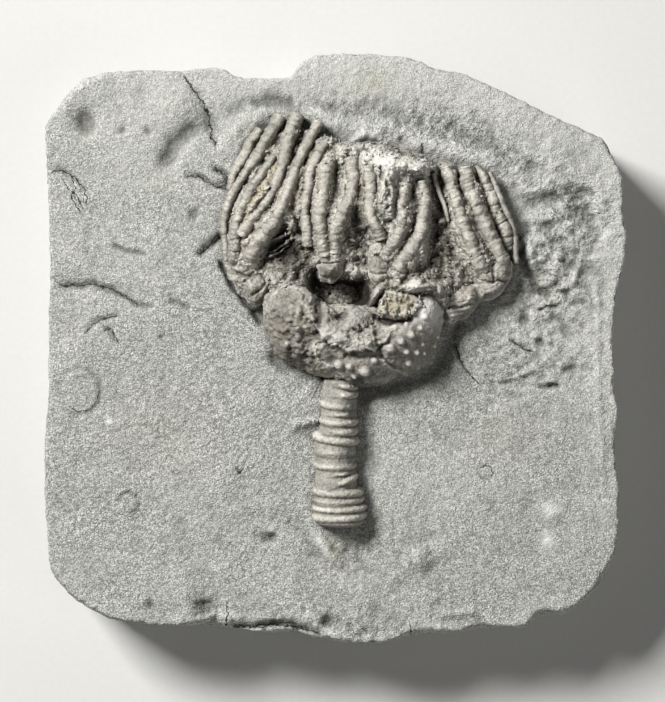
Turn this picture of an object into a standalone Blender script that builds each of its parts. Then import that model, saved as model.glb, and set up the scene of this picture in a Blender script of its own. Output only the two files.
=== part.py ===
"""A fossil crinoid in its slab of siltstone: knobbed cup, ringed stem and a crown of arms.

The slab lies on its flat underside. X runs to the right and Y up the slab's face, from its middle,
and Z is up from the underside. Sizes are in millimetres and become metres when a mesh is made.
"""

import math

import bmesh
import bpy
from mathutils import Vector, noise
from mathutils.bvhtree import BVHTree

MM = 0.001
GAP = 0.3  # between two pieces that touch

# ---------------------------------------------------------------- driving dimensions

SLAB_THICKNESS = 15.0
SLAB_SPOKES = 88
SLAB_RINGS = (0.12, 0.24, 0.36, 0.47, 0.57, 0.67, 0.77, 0.87, 0.95)
EDGE_INSET = 0.5  # the top edge's usual rounding, inwards and down
EDGE_DROP = 0.7
SLAB_WIDEST = 8.5  # height at which the broken sides reach furthest out
SLAB_FOOT = 2.5  # height of the lower ring of the sides
SIDE_ROUGHNESS = 0.7
FOOT_INSET = 1.2  # of the underside's edge and of the lower ring
LOWER_INSET = 0.4
FACE_WAVES = ((0.25, 9.0), (0.12, 3.0))  # height and size of the face's smallest swells

# The slab's outline, clockwise from the upper left corner.
SLAB_OUTLINE = (
    (-42.4, 32.2), (-41.6, 33.6), (-39.2, 37.0), (-36.9, 39.2), (-34.0, 40.2), (-28.4, 40.5),
    (-22.2, 40.3), (-18.4, 40.9), (-14.6, 39.4), (-6.6, 39.3), (-4.8, 41.9), (-0.7, 42.9),
    (4.4, 42.8), (11.5, 42.1), (14.0, 40.8), (18.4, 40.0), (21.6, 38.6), (26.3, 36.4),
    (30.5, 34.2), (36.2, 31.7), (38.8, 30.6), (40.5, 26.8), (41.6, 25.3), (41.4, 20.3),
    (42.4, 17.0), (42.1, 13.5), (40.8, 7.7), (40.1, 1.2), (40.3, -5.3), (41.0, -9.1),
    (40.4, -13.3), (41.1, -20.2), (41.1, -25.7), (40.7, -29.4), (38.5, -34.3), (36.5, -36.4),
    (33.0, -38.9), (29.2, -39.0), (28.0, -40.6), (20.0, -41.0), (10.8, -41.9), (2.8, -42.9),
    (-2.9, -42.2), (-9.8, -41.4), (-20.4, -40.5), (-26.7, -40.2), (-32.7, -39.4), (-35.6, -38.0),
    (-40.4, -34.0), (-41.6, -32.3), (-42.0, -26.8), (-42.4, -18.0), (-41.8, -5.9), (-41.8, 5.5),
    (-41.6, 10.7), (-41.8, 20.5),
)

# Where the top edge is broken down further: x, y, reach, extra inset, extra drop.
EDGE_BREAKS = (
    (42.0, -1.0, 20.0, 2.6, 2.4),  # the long smooth slope of the right side
    (41.0, 14.0, 9.0, 1.6, 1.6),
    (-6.0, -41.5, 8.0, 1.8, 3.4),  # a ledge along the lower edge
    (-18.5, -40.5, 4.0, 2.2, 2.6),  # chipped hollow
    (13.0, -41.8, 5.0, 1.4, 3.0),
    (30.0, -39.0, 6.0, 1.8, 2.6),
    (-38.0, 37.0, 7.0, 1.4, 1.5),
    (38.0, -34.0, 7.0, 1.2, 1.6),
    (-38.0, -36.0, 7.0, 0.9, 1.4),
)

# Broad swells and hollows of the slab's top: x, y, reach across, reach along, turn, height.
SLAB_SWELLS = (
    (-23.5, 35.5, 4.0, 4.5, -35.0, 0.9),  # raised wedge by the long crack
    (-18.5, 33.0, 2.0, 5.0, 25.0, -0.9),  # the crack's valley
    (-24.0, 29.0, 2.5, 3.5, -35.0, -0.7),
    (-12.5, 35.5, 4.5, 2.0, 20.0, -0.9),  # dent over the left fan's tips
    (-13.5, 32.5, 5.0, 1.6, 50.0, 0.7),
    (12.0, 34.0, 14.0, 5.0, -12.0, 0.7),  # rough rise above the centre arms
    (30.5, 12.0, 3.6, 5.5, 15.0, 1.2),  # shelly rise right of the crown
    (36.0, 16.0, 3.0, 6.0, 10.0, -0.6),
    (30.0, 24.0, 5.0, 4.0, -25.0, 0.6),
    (-36.5, 33.0, 2.2, 2.2, 0.0, -0.8),  # pit near the upper left corner
    (-37.0, -6.5, 3.0, 3.0, 0.0, 0.35),  # ring-shaped imprints
    (-30.0, -22.5, 2.4, 2.4, 0.0, 0.3),
    (-34.0, 8.5, 6.0, 1.6, -10.0, -0.5),
    (12.0, -30.0, 1.8, 1.8, 0.0, 0.7),  # small lumps below the cup
    (31.0, -23.5, 1.6, 1.8, 0.0, 0.6),
    (-10.0, -27.5, 1.2, 1.0, 0.0, -0.5),
    (-16.0, -18.0, 7.0, 5.0, 20.0, 0.35),
    (20.0, -18.0, 8.0, 6.0, -20.0, 0.35),
    (0.5, -28.5, 4.0, 2.4, 0.0, -0.5),
)

# The crown is a low dome over the slab: x, y, reach across, reach along, turn, height.
DOME_LUMPS = (
    (5.6, 17.9, 10.9, 10.9, 0.0, 6.0),  # middle of the crown
    (-9.6, 20.8, 6.5, 8.7, 0.0, 3.0),  # under the left fan
    (20.6, 16.5, 5.1, 8.7, 0.0, 2.2),  # under the right group
    (-8.6, 14.7, 2.3, 2.3, 0.0, -2.0),  # hollow inside the left fan
    (3.5, 15.7, 1.5, 3.6, 0.0, -2.5),  # hollow between the centre arms
    (1.0, 8.3, 4.1, 1.7, 0.0, -3.4),  # deep hollow above the cup
    (11.0, 9.6, 4.5, 2.6, 0.0, 2.2),  # shoulder between the centre arms and the cup
    (8.0, 26.3, 4.6, 2.2, -8.0, 1.8),  # crust over the tips of the centre arms
    (7.8, 21.5, 1.5, 3.4, 0.0, 1.2),  # wedge of rock between two centre arms
    (4.3, 29.6, 4.0, 1.0, 0.0, 0.8),  # knobby crescent behind them
)
TEGMEN_OUTLINE = (
    (-10.2, 31.0), (-6.5, 32.4), (-2.0, 31.8), (1.3, 30.6), (7.1, 30.6), (12.9, 28.4),
    (18.7, 27.0), (22.0, 25.6), (24.9, 21.5), (26.2, 16.4), (25.7, 10.6), (23.8, 7.4),
    (20.8, 6.0), (19.0, 4.4), (16.9, 3.2), (16.0, 4.4), (15.0, 6.7), (11.4, 7.5), (6.3, 7.2),
    (1.3, 6.4), (-2.6, 6.8), (-5.2, 8.0), (-9.0, 8.0), (-11.3, 6.3), (-13.0, 7.2),
    (-14.9, 9.6), (-16.6, 12.5), (-16.7, 16.4), (-15.8, 21.5), (-13.6, 26.5),
)
TEGMEN_MIDDLE = (5.0, 18.5)
TEGMEN_SPOKES = 56
TEGMEN_RINGS = (0.2, 0.38, 0.54, 0.68, 0.8, 0.91)
TEGMEN_RIM = 0.9  # least height of its rim over the slab
TEGMEN_ROUGHNESS = 0.45
TEGMEN_LUMP = 1.7  # size of its small lumps
TEGMEN_KNOBS = (
    (3.5, 16.2), (3.7, 13.5), (15.0, 17.8), (11.2, 9.2), (14.8, 14.6), (14.2, 12.0), (6.3, 8.4),
    (4.2, 18.0),
)

CUP_OUTLINE = (
    (-10.7, 6.4), (-10.6, 4.4), (-9.9, 1.9), (-9.3, -0.4), (-7.4, -1.9), (-4.5, -3.1),
    (-2.3, -4.0), (1.3, -5.2), (3.5, -5.5), (5.2, -5.2), (7.5, -5.2), (8.5, -4.0),
    (11.0, -3.6), (13.5, -2.4), (14.7, -0.2), (15.4, 3.0), (15.5, 4.6), (14.6, 6.2),
    (11.4, 7.0), (6.3, 6.7), (1.3, 5.9), (-2.6, 6.3), (-5.2, 7.5), (-8.1, 7.5),
)
CUP_MIDDLE = (3.0, 2.6)
CUP_HEIGHT = 8.0
CUP_LOW_RIM = 1.2  # rim height at the stem's side
CUP_HIGH_RIM = 4.6  # rim height at the arms' side
CUP_SPOKES = 48
CUP_RINGS = (0.16, 0.31, 0.45, 0.58, 0.7, 0.81, 0.91)
# Plate bulges and seams: x, y, reach across, reach along, turn, height.
CUP_SWELLS = (
    (-6.5, 3.6, 2.4, 3.0, 0.0, 1.6),  # left radial plate
    (-4.0, 1.0, 0.9, 3.6, -25.0, -0.8),  # its seam
    (1.2, 2.6, 3.6, 0.5, -24.0, 0.8),  # ridge across the middle plate
    (-0.4, 5.0, 0.9, 0.5, 0.0, -0.8),  # its oval pit
    (10.8, 2.0, 3.2, 3.0, 0.0, 0.9),  # right radial plate
    (6.8, 4.0, 0.7, 3.0, -10.0, -0.6),
    (-1.6, -1.2, 0.7, 1.4, 20.0, 0.6),  # rim of the lower left plate
    (9.0, 6.2, 2.4, 0.7, -4.0, -0.9),  # crevice under the porous patch
)
CUP_KNOBS = (
    (8.2, 3.1), (10.1, 3.5), (12.1, 2.9), (12.6, 4.7), (10.8, 1.8), (9.2, 0.9), (7.5, 0.1),
    (12.4, 0.6), (10.1, -0.5), (11.7, -0.8), (13.4, -0.6), (14.5, 1.7), (10.5, -2.1), (12.2, -2.5),
    (0.1, -2.4), (1.7, -2.5), (4.0, -3.4), (2.6, -4.1), (5.4, -4.1), (7.2, -4.1), (5.5, -1.7),
    (0.3, 0.2), (-7.0, 0.8), (-7.6, 2.6), (3.3, 3.6), (-5.6, 5.4), (-4.4, -1.6),
)
KNOB_HEIGHT = 0.45
KNOB_SHARE = 0.42  # of the face that it stands on
KNOB_INSET = 0.05

# The stem's route from the cup down, as x, y, width.
STEM_ROUTE = (
    (0.6, -5.5, 5.4), (0.4, -8.1, 5.3), (0.1, -11.0, 5.4), (-0.1, -13.9, 6.6), (-0.1, -16.8, 6.6),
    (0.0, -19.7, 7.0), (0.4, -22.6, 7.8), (0.6, -25.1, 7.9),
)
STEM_TOP = 4.6
STEM_RING_PITCH = 1.4
STEM_RING_DEPTH = 0.1  # share by which the stem is narrower between two rings
STEM_FULLNESS = 0.8  # below 1 its section is fuller than a half round

FORK_CORNERS = 12  # round one fork plate
FORK_LEAST = 0.5  # least height of a fork plate's rim over what carries it
FORK_DOME = 0.45  # share by which a fork plate is lower at its rim

# Plates at the forks: outline, and how far they stand over what carries them.
FORK_PLATES = {
    "left_ray_plates": (
        ((-16.3, 11.7), (-14.4, 11.3), (-12.3, 11.4), (-10.6, 11.0), (-9.7, 9.5), (-9.9, 7.9),
         (-11.4, 6.5), (-12.8, 7.4), (-14.6, 9.6)),
        1.9,
    ),
    "left_fork_column": (
        ((-15.6, 15.5), (-14.0, 15.4), (-13.7, 13.9), (-14.1, 12.2), (-15.2, 12.0), (-15.5, 13.8)),
        1.7,
    ),
    "centre_left_plate": (
        ((-2.9, 12.3), (-1.1, 13.0), (0.9, 12.9), (1.0, 10.8), (-0.4, 9.3), (-2.1, 9.9)),
        1.8,
    ),
    "centre_right_plate": (
        ((5.0, 12.8), (7.0, 13.3), (8.0, 12.0), (7.8, 9.9), (6.0, 9.2), (4.8, 10.8)),
        1.6,
    ),
    "right_shoulder_plates": (
        ((20.3, 10.8), (22.4, 11.0), (25.0, 11.0), (25.1, 9.7), (23.8, 8.0), (22.1, 6.9), (20.9, 7.2),
         (20.2, 8.5)),
        1.9,
    ),
    "right_ray_plates": (
        ((15.3, 7.2), (15.9, 8.8), (17.8, 8.6), (19.8, 8.4), (20.2, 6.7), (18.9, 5.1), (16.9, 3.9),
         (16.3, 5.2)),
        1.9,
    ),
}

# Arms: how far each stands over what carries it, and its route from tip to root as x, y, width.
ARMS = {
    "left_arm_1": (
        1.3,
        ((-11.0, 31.8, 1.3), (-12.1, 30.0, 1.6), (-13.1, 28.1, 1.7), (-14.3, 26.3, 1.6),
         (-15.2, 24.5, 1.3), (-15.8, 23.1, 1.1)),
    ),
    "left_arm_2": (
        1.6,
        ((-7.9, 33.6, 1.9), (-9.8, 30.8, 1.7), (-11.4, 27.9, 1.6), (-12.9, 25.6, 1.4), (-14.2, 23.6, 1.2),
         (-15.4, 21.9, 1.2), (-16.3, 20.2, 1.3), (-16.6, 17.8, 1.2), (-16.6, 14.9, 1.2), (-16.1, 12.6, 1.0)),
    ),
    "left_arm_3": (
        1.6,
        ((-9.1, 27.9, 0.8), (-10.7, 25.7, 1.3), (-12.4, 23.3, 1.6), (-13.8, 20.7, 1.7), (-14.6, 18.5, 1.5),
         (-14.9, 16.2, 1.4)),
    ),
    "left_arm_4": (
        1.9,
        ((-5.7, 33.9, 2.2), (-6.9, 30.8, 2.2), (-7.5, 28.6, 2.0), (-8.1, 26.5, 2.0), (-9.1, 24.0, 1.9),
         (-10.4, 21.8, 1.7), (-11.7, 20.3, 1.7), (-12.8, 18.5, 1.9), (-13.7, 16.7, 1.6)),
    ),
    "left_arm_5": (
        2.2,
        ((-2.6, 32.8, 1.7), (-3.9, 30.0, 1.7), (-4.9, 27.9, 1.6), (-5.8, 26.0, 1.6), (-6.5, 24.0, 1.6),
         (-7.2, 22.0, 1.7), (-7.9, 20.4, 2.0), (-8.9, 18.5, 2.2), (-10.5, 16.5, 2.4), (-11.8, 14.6, 2.6),
         (-12.6, 13.1, 2.4)),
    ),
    "centre_arm_1": (
        2.0,
        ((-1.7, 29.8, 1.7), (-3.2, 27.1, 1.6), (-4.1, 23.5, 1.6), (-4.7, 20.5, 1.4), (-4.4, 18.0, 1.4),
         (-4.1, 15.0, 1.6)),
    ),
    "centre_arm_2": (
        2.2,
        ((-1.6, 26.5, 2.2), (-1.9, 22.7, 2.0), (-2.3, 19.4, 2.0), (-2.0, 16.7, 2.0), (-1.6, 13.5, 1.9)),
    ),
    "centre_arm_3": (
        2.2,
        ((2.0, 27.6, 2.0), (2.3, 24.3, 1.7), (2.0, 21.6, 1.7), (1.0, 19.2, 1.9), (0.3, 16.9, 1.8),
         (0.3, 14.0, 1.6)),
    ),
    "centre_arm_4": (
        2.2,
        ((4.6, 26.3, 1.7), (4.9, 23.0, 1.8), (4.9, 20.2, 1.8), (5.0, 18.9, 1.7), (5.7, 17.5, 1.7),
         (6.2, 16.3, 1.5)),
    ),
    "centre_arm_5": (
        2.0,
        ((10.2, 23.8, 1.9), (9.6, 21.0, 1.9), (9.3, 18.3, 1.9), (8.5, 15.9, 1.9), (7.5, 14.0, 1.7)),
    ),
    "centre_arm_6": (
        2.4,
        ((12.2, 24.2, 1.5), (12.8, 21.3, 1.7), (12.5, 18.3, 1.9), (11.5, 15.6, 2.0), (10.1, 13.4, 2.3),
         (9.2, 11.9, 2.2)),
    ),
    "right_arm_1": (1.2, ((14.0, 25.3, 0.7), (14.8, 22.8, 0.8), (15.6, 20.7, 0.8), (16.0, 18.5, 0.7))),
    "right_arm_2": (
        2.4,
        ((16.0, 26.3, 2.0), (16.8, 22.8, 1.9), (17.8, 19.5, 1.9), (19.3, 15.6, 2.0), (20.7, 12.6, 2.1),
         (21.3, 11.4, 2.1)),
    ),
    "right_arm_3": (
        2.4,
        ((18.7, 26.3, 2.2), (19.4, 23.1, 2.1), (20.8, 19.5, 2.1), (22.0, 16.8, 2.1), (23.3, 13.9, 2.1),
         (24.1, 11.6, 2.0)),
    ),
    "right_arm_4": (
        1.5,
        ((20.5, 26.3, 1.0), (21.9, 23.6, 1.3), (23.3, 19.9, 1.4), (24.4, 17.2, 1.4), (25.1, 14.8, 1.2)),
    ),
    "right_arm_5": (
        1.3,
        ((22.1, 25.5, 0.9), (23.6, 22.4, 1.0), (24.9, 19.3, 1.0), (25.9, 16.0, 1.0), (26.1, 12.5, 1.0)),
    ),
}
PLATE_PITCH = 1.55  # length of one arm plate, drawn a little longer than the real one
SUTURE_DEPTH = 0.13  # share by which an arm is narrower between two plates
END_SHARE = 0.75  # width of an arm's two ends, of its own width
ARM_LEAST = 0.25  # least height of an arm's flanks over their feet
ARM_LEAST_HALF = 0.3  # least half width where a neighbour is close
REST_REACH = 0.5  # how far round a place a piece looks for what carries it

# Corners of a half round section, in degrees from the right foot, from the left foot over the crest.
ARM_SECTION = (180.0, 140.0, 90.0, 40.0, 0.0)
STEM_SECTION = (180.0, 155.0, 125.0, 90.0, 55.0, 25.0, 0.0)

SILTSTONE = ("siltstone", (0.34, 0.34, 0.32), 0.93)
CALCITE = ("fossil_calcite", (0.38, 0.35, 0.30), 0.72)
DARK_CALCITE = ("crushed_calcite", (0.20, 0.18, 0.15), 0.8)


# ---------------------------------------------------------------- shared helpers


def clear_scene():
    """Start from an empty scene."""
    for obj in list(bpy.data.objects):
        bpy.data.objects.remove(obj, do_unlink=True)


def rock_material(name, colour, roughness):
    """A plain rock finish."""
    material = bpy.data.materials.get(name) or bpy.data.materials.new(name)
    material.use_nodes = True
    shader = material.node_tree.nodes["Principled BSDF"]
    shader.inputs["Base Color"].default_value = (*colour, 1.0)
    shader.inputs["Roughness"].default_value = roughness
    shader.inputs["Metallic"].default_value = 0.0
    return material


def add_piece(name, mesh_build, finish):
    """Turn a bmesh in millimetres into a named object in metres, with its faces pointing out."""
    bmesh.ops.recalc_face_normals(mesh_build, faces=mesh_build.faces)
    bmesh.ops.triangulate(mesh_build, faces=mesh_build.faces)
    bmesh.ops.scale(mesh_build, vec=(MM, MM, MM), verts=mesh_build.verts)
    mesh = bpy.data.meshes.new(name)
    mesh_build.to_mesh(mesh)
    mesh_build.free()
    mesh.shade_smooth()
    mesh.set_sharp_from_angle(angle=math.radians(38.0))
    mesh.materials.append(rock_material(f"{name}_{finish[0]}", finish[1], finish[2]))
    obj = bpy.data.objects.new(name, mesh)
    bpy.context.scene.collection.objects.link(obj)
    return obj


def lumps(swells, x, y):
    """Height at a place, summed over turned oval swells."""
    height = 0.0
    for centre_x, centre_y, across, along, turn, rise in swells:
        dx = x - centre_x
        dy = y - centre_y
        cosine = math.cos(math.radians(turn))
        sine = math.sin(math.radians(turn))
        u = (dx * cosine + dy * sine) / across
        v = (dy * cosine - dx * sine) / along
        height += rise * math.exp(-u * u - v * v)
    return height


def roughness_at(x, y, size):
    """Smooth, repeatable noise between about -1 and 1, with bumps of the given size."""
    return noise.noise(Vector((x / size, y / size, 0.37)))


def evenly_spaced(outline, count):
    """The points at equal steps along a closed outline."""
    corners = [Vector(p) for p in outline]
    ends = corners[1:] + corners[:1]
    lengths = [(b - a).length for a, b in zip(corners, ends)]
    step = sum(lengths) / count
    points = []
    edge = 0
    passed = 0.0
    for i in range(count):
        while i * step > passed + lengths[edge]:
            passed += lengths[edge]
            edge += 1
        share = (i * step - passed) / lengths[edge]
        points.append(corners[edge].lerp(ends[edge], share))
    return points


def centred(points):
    """The same points, moved so that their extents are even about the origin."""
    xs = [p.x for p in points]
    ys = [p.y for p in points]
    middle = Vector(((min(xs) + max(xs)) / 2, (min(ys) + max(ys)) / 2))
    return [p - middle for p in points]


def smooth_route(points, count):
    """Points at equal steps along the smooth curve through a route of x, y, width."""
    nodes = [Vector(p) for p in points]
    padded = [2 * nodes[0] - nodes[1], *nodes, 2 * nodes[-1] - nodes[-2]]
    fine = []
    for a, b, c, d in zip(padded, padded[1:], padded[2:], padded[3:]):
        for k in range(12):
            t = k / 12
            bend = 2 * a - 5 * b + 4 * c - d
            twist = 3 * b - a - 3 * c + d
            fine.append(0.5 * (2 * b + (c - a) * t + bend * t**2 + twist * t**3))
    fine.append(nodes[-1])
    lengths = [(b.xy - a.xy).length for a, b in zip(fine, fine[1:])]
    total = sum(lengths)
    route = []
    edge = 0
    passed = 0.0
    for i in range(count):
        target = min(total * i / (count - 1), total * 0.99999)
        while target > passed + lengths[edge]:
            passed += lengths[edge]
            edge += 1
        route.append(fine[edge].lerp(fine[edge + 1], (target - passed) / lengths[edge]))
    return route


def ring_of(build, points):
    """Add a closed ring of vertices."""
    return [build.verts.new(p) for p in points]


def join_rings(build, lower, upper):
    """Skin between two rings of equal count; returns the faces."""
    faces = []
    for i in range(len(lower)):
        j = (i + 1) % len(lower)
        faces.append(build.faces.new((lower[i], lower[j], upper[j], upper[i])))
    return faces


def close_ring(build, ring, point):
    """Fan a ring to one point."""
    tip = build.verts.new(point)
    for i, vertex in enumerate(ring):
        build.faces.new((vertex, ring[(i + 1) % len(ring)], tip))


def domed_body(outline, middle, shares, side_heights, top_height):
    """A closed body on an outline: flat below, sides, and a top read from top_height.

    shares are the rings of the top from the middle outwards, side_heights gives the heights of the
    rings of the side at a place, lowest first, the last one being the rim.
    Returns the bmesh and the top's four-sided faces.
    """
    build = bmesh.new()
    centre = Vector(middle)
    count = len(side_heights(*outline[0]))
    rings = []
    for level in range(count):
        rings.append(ring_of(build, [(p[0], p[1], side_heights(p[0], p[1])[level]) for p in outline]))
    for lower, upper in zip(rings, rings[1:]):
        join_rings(build, lower, upper)
    top_faces = []
    outer = rings[-1]
    for share in reversed(shares):
        places = [centre.lerp(Vector(p), share) for p in outline]
        ring = ring_of(build, [(p.x, p.y, top_height(p.x, p.y, share)) for p in places])
        top_faces += join_rings(build, outer, ring)
        outer = ring
    close_ring(build, outer, (centre.x, centre.y, top_height(centre.x, centre.y, 0.0)))
    close_ring(build, rings[0], (centre.x, centre.y, side_heights(centre.x, centre.y)[0]))
    return build, top_faces


def raise_knobs(build, faces, places, height):
    """Draw the face nearest each place in to a small knob."""
    free = {face for face in faces if face.is_valid}
    for x, y in places:
        face = min(free, key=lambda f: (f.calc_center_median().xy - Vector((x, y))).length)
        free.discard(face)
        normal = face.normal if face.normal.z > 0 else -face.normal
        bmesh.ops.inset_individual(build, faces=[face], thickness=KNOB_INSET)
        middle = face.calc_center_median()
        for vertex in face.verts:
            vertex.co = middle.lerp(vertex.co, KNOB_SHARE) + normal * height


class Ground:
    """The pieces already laid, to rest the next ones on."""

    def __init__(self):
        self.trees = []

    def add(self, build):
        """Remember a body, still in millimetres."""
        self.trees.append(BVHTree.FromBMesh(build))

    def top(self, x, y):
        """Height of the highest piece at a place."""
        hits = [tree.ray_cast(Vector((x, y, 100.0)), Vector((0.0, 0.0, -1.0)))[0] for tree in self.trees]
        return max((hit.z for hit in hits if hit is not None), default=SLAB_THICKNESS)

    def highest_near(self, x, y, reach):
        """Height of the highest of nine places round this one."""
        steps = (-reach, 0.0, reach)
        return max(self.top(x + dx, y + dy) for dx in steps for dy in steps)


# ---------------------------------------------------------------- the pieces


def in_crown(x, y):
    """1 under the crown, cup and stem, where the slab's top is level, falling to 0 around them."""
    crown = math.hypot((x - 4.5) / 23.0, (y - 14.0) / 20.5)
    cup = math.hypot((x - 2.5) / 14.5, (y - 0.5) / 8.0)
    stem = math.hypot((x - 0.2) / 5.0, (y + 15.0) / 12.5)
    nearest = min(crown, cup, stem)
    return min(1.0, max(0.0, (1.35 - nearest) / 0.3))


def slab_top(x, y):
    """Height of the slab's face."""
    swells = lumps(SLAB_SWELLS, x, y)
    for height, size in FACE_WAVES:
        swells += height * roughness_at(x, y, size)
    return SLAB_THICKNESS + (1.0 - in_crown(x, y)) * swells


def edge_break(x, y):
    """Inset and drop of the top edge at a place on the outline."""
    inset = EDGE_INSET
    drop = EDGE_DROP
    for centre_x, centre_y, reach, more_inset, more_drop in EDGE_BREAKS:
        share = math.exp(-(((x - centre_x) ** 2 + (y - centre_y) ** 2) / reach**2))
        inset += share * more_inset
        drop += share * more_drop
    return inset, drop


def make_slab(ground):
    """The slab: rough level face, broken sides, flat underside."""
    build = bmesh.new()
    outline = centred(evenly_spaced(SLAB_OUTLINE, SLAB_SPOKES))

    def inwards(point, distance):
        return point * (1.0 - distance / point.length)

    def side_ring(height, least_inset):
        ring = []
        for point in outline:
            rough = SIDE_ROUGHNESS * abs(roughness_at(point.x + 3.0 * height, point.y - 2.0 * height, 4.0))
            place = inwards(point, least_inset + rough)
            ring.append((place.x, place.y, height))
        return ring

    foot = ring_of(build, side_ring(0.0, FOOT_INSET))
    lower = ring_of(build, side_ring(SLAB_FOOT, LOWER_INSET))
    widest = ring_of(build, [(p.x, p.y, SLAB_WIDEST) for p in outline])
    shoulder = []
    rim = []
    for point in outline:
        inset, drop = edge_break(point.x, point.y)
        shoulder_at = inwards(point, 0.12 * inset)
        rim_at = inwards(point, inset)
        shoulder.append((shoulder_at.x, shoulder_at.y, SLAB_THICKNESS - drop))
        rim.append((rim_at.x, rim_at.y, slab_top(rim_at.x, rim_at.y) - 0.1 * drop))
    shoulder = ring_of(build, shoulder)
    rim = ring_of(build, rim)
    for inner, outer in ((foot, lower), (lower, widest), (widest, shoulder), (shoulder, rim)):
        join_rings(build, inner, outer)
    outer = rim
    for share in reversed(SLAB_RINGS):
        places = []
        for point in outline:
            inset, _ = edge_break(point.x, point.y)
            places.append(inwards(point, inset) * share)
        ring = ring_of(build, [(p.x, p.y, slab_top(p.x, p.y)) for p in places])
        join_rings(build, outer, ring)
        outer = ring
    close_ring(build, outer, (0.0, 0.0, slab_top(0.0, 0.0)))
    close_ring(build, foot, (0.0, 0.0, 0.0))
    ground.add(build)
    return add_piece("matrix_slab", build, SILTSTONE)


def dome_top(x, y):
    """Height of the crown's filling over the slab's level face."""
    rough = TEGMEN_ROUGHNESS * roughness_at(x, y, TEGMEN_LUMP)
    return max(TEGMEN_RIM, lumps(DOME_LUMPS, x, y) + rough)


def make_tegmen(ground):
    """Crushed roof plates and hard rock between the arms, one low dome on the slab."""
    outline = [tuple(p) for p in evenly_spaced(TEGMEN_OUTLINE, TEGMEN_SPOKES)]

    def side_heights(x, y):
        return SLAB_THICKNESS + GAP, SLAB_THICKNESS + dome_top(x, y)

    def top_height(x, y, _share):
        return SLAB_THICKNESS + dome_top(x, y)

    build, faces = domed_body(outline, TEGMEN_MIDDLE, TEGMEN_RINGS, side_heights, top_height)
    bmesh.ops.recalc_face_normals(build, faces=build.faces)
    raise_knobs(build, faces, TEGMEN_KNOBS, KNOB_HEIGHT)
    ground.add(build)
    return add_piece("crushed_tegmen", build, DARK_CALCITE)


def make_cup():
    """The cup: a steep half dome of bulging plates, set with knobs."""
    outline = [tuple(p) for p in evenly_spaced(CUP_OUTLINE, CUP_SPOKES)]

    def rim_over_slab(y):
        share = min(1.0, max(0.0, (y + 2.0) / 8.0))
        return CUP_LOW_RIM + (CUP_HIGH_RIM - CUP_LOW_RIM) * share

    def side_heights(x, y):
        return SLAB_THICKNESS + GAP, SLAB_THICKNESS + rim_over_slab(y)

    def top_height(x, y, share):
        rim = rim_over_slab(y)
        dome = rim + (CUP_HEIGHT - rim) * math.sqrt(1.0 - share**2.4)
        return SLAB_THICKNESS + dome + (1.0 - share**4) * lumps(CUP_SWELLS, x, y)

    build, faces = domed_body(outline, CUP_MIDDLE, CUP_RINGS, side_heights, top_height)
    bmesh.ops.recalc_face_normals(build, faces=build.faces)
    raise_knobs(build, faces, CUP_KNOBS, KNOB_HEIGHT)
    return add_piece("calyx_cup", build, CALCITE)


def route_length(route):
    """Length of a route in plan."""
    return sum(math.dist(a[:2], b[:2]) for a, b in zip(route, route[1:]))


def make_stem():
    """The stem: a half buried column of uneven rings."""
    rings = round(route_length(STEM_ROUTE) / STEM_RING_PITCH)
    stations = smooth_route(STEM_ROUTE, 3 * rings + 1)
    foot = SLAB_THICKNESS + GAP
    build = bmesh.new()
    sections = []
    for i, place in enumerate(stations):
        swell = 1.0 - (STEM_RING_DEPTH if i % 3 == 0 else 0.0)
        section = []
        for angle in STEM_SECTION:
            x = place.x + 0.5 * place.z * swell * math.cos(math.radians(angle))
            rise = math.sin(math.radians(angle)) ** STEM_FULLNESS
            z = foot + (STEM_TOP * swell - GAP) * rise
            section.append((x, place.y, z))
        sections.append(ring_of(build, section))
    for upper, lower in zip(sections, sections[1:]):
        join_rings(build, upper, lower)
    build.faces.new(sections[0])
    build.faces.new(sections[-1])
    return add_piece("stem", build, CALCITE)


def make_fork_plate(name, outline, proud, ground):
    """A low domed plate resting on what lies below it."""
    rested = [tuple(p) for p in evenly_spaced(outline, FORK_CORNERS)]
    middle = sum((Vector(p) for p in outline), Vector((0.0, 0.0))) / len(outline)
    foot = max(ground.highest_near(x, y, 0.4) for x, y in [*rested, tuple(middle)]) + GAP

    def side_heights(x, y):
        near = ground.highest_near(x, y, REST_REACH) + GAP
        return near, max(near + FORK_LEAST, foot + 0.4 * proud)

    def top_height(x, y, share):
        return foot + proud * (1.0 - FORK_DOME * share**2)

    build, _ = domed_body(rested, tuple(middle), (0.6,), side_heights, top_height)
    for vertex in build.verts:
        if vertex.co.z < foot and (vertex.co.xy - middle).length < 0.01:
            vertex.co.z = ground.highest_near(middle.x, middle.y, 0.6) + GAP
    return add_piece(name, build, CALCITE)


def free_half_width(place, own_name):
    """Half of the arm's width at a place, less where a neighbouring arm is close."""
    half = 0.5 * place.z
    for name, route in ARM_LINES.items():
        if name == own_name:
            continue
        near = min((place.xy - other.xy).length for other in route)
        half = min(half, max(ARM_LEAST_HALF, 0.5 * (near - GAP - 0.08)))
    return half


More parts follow.
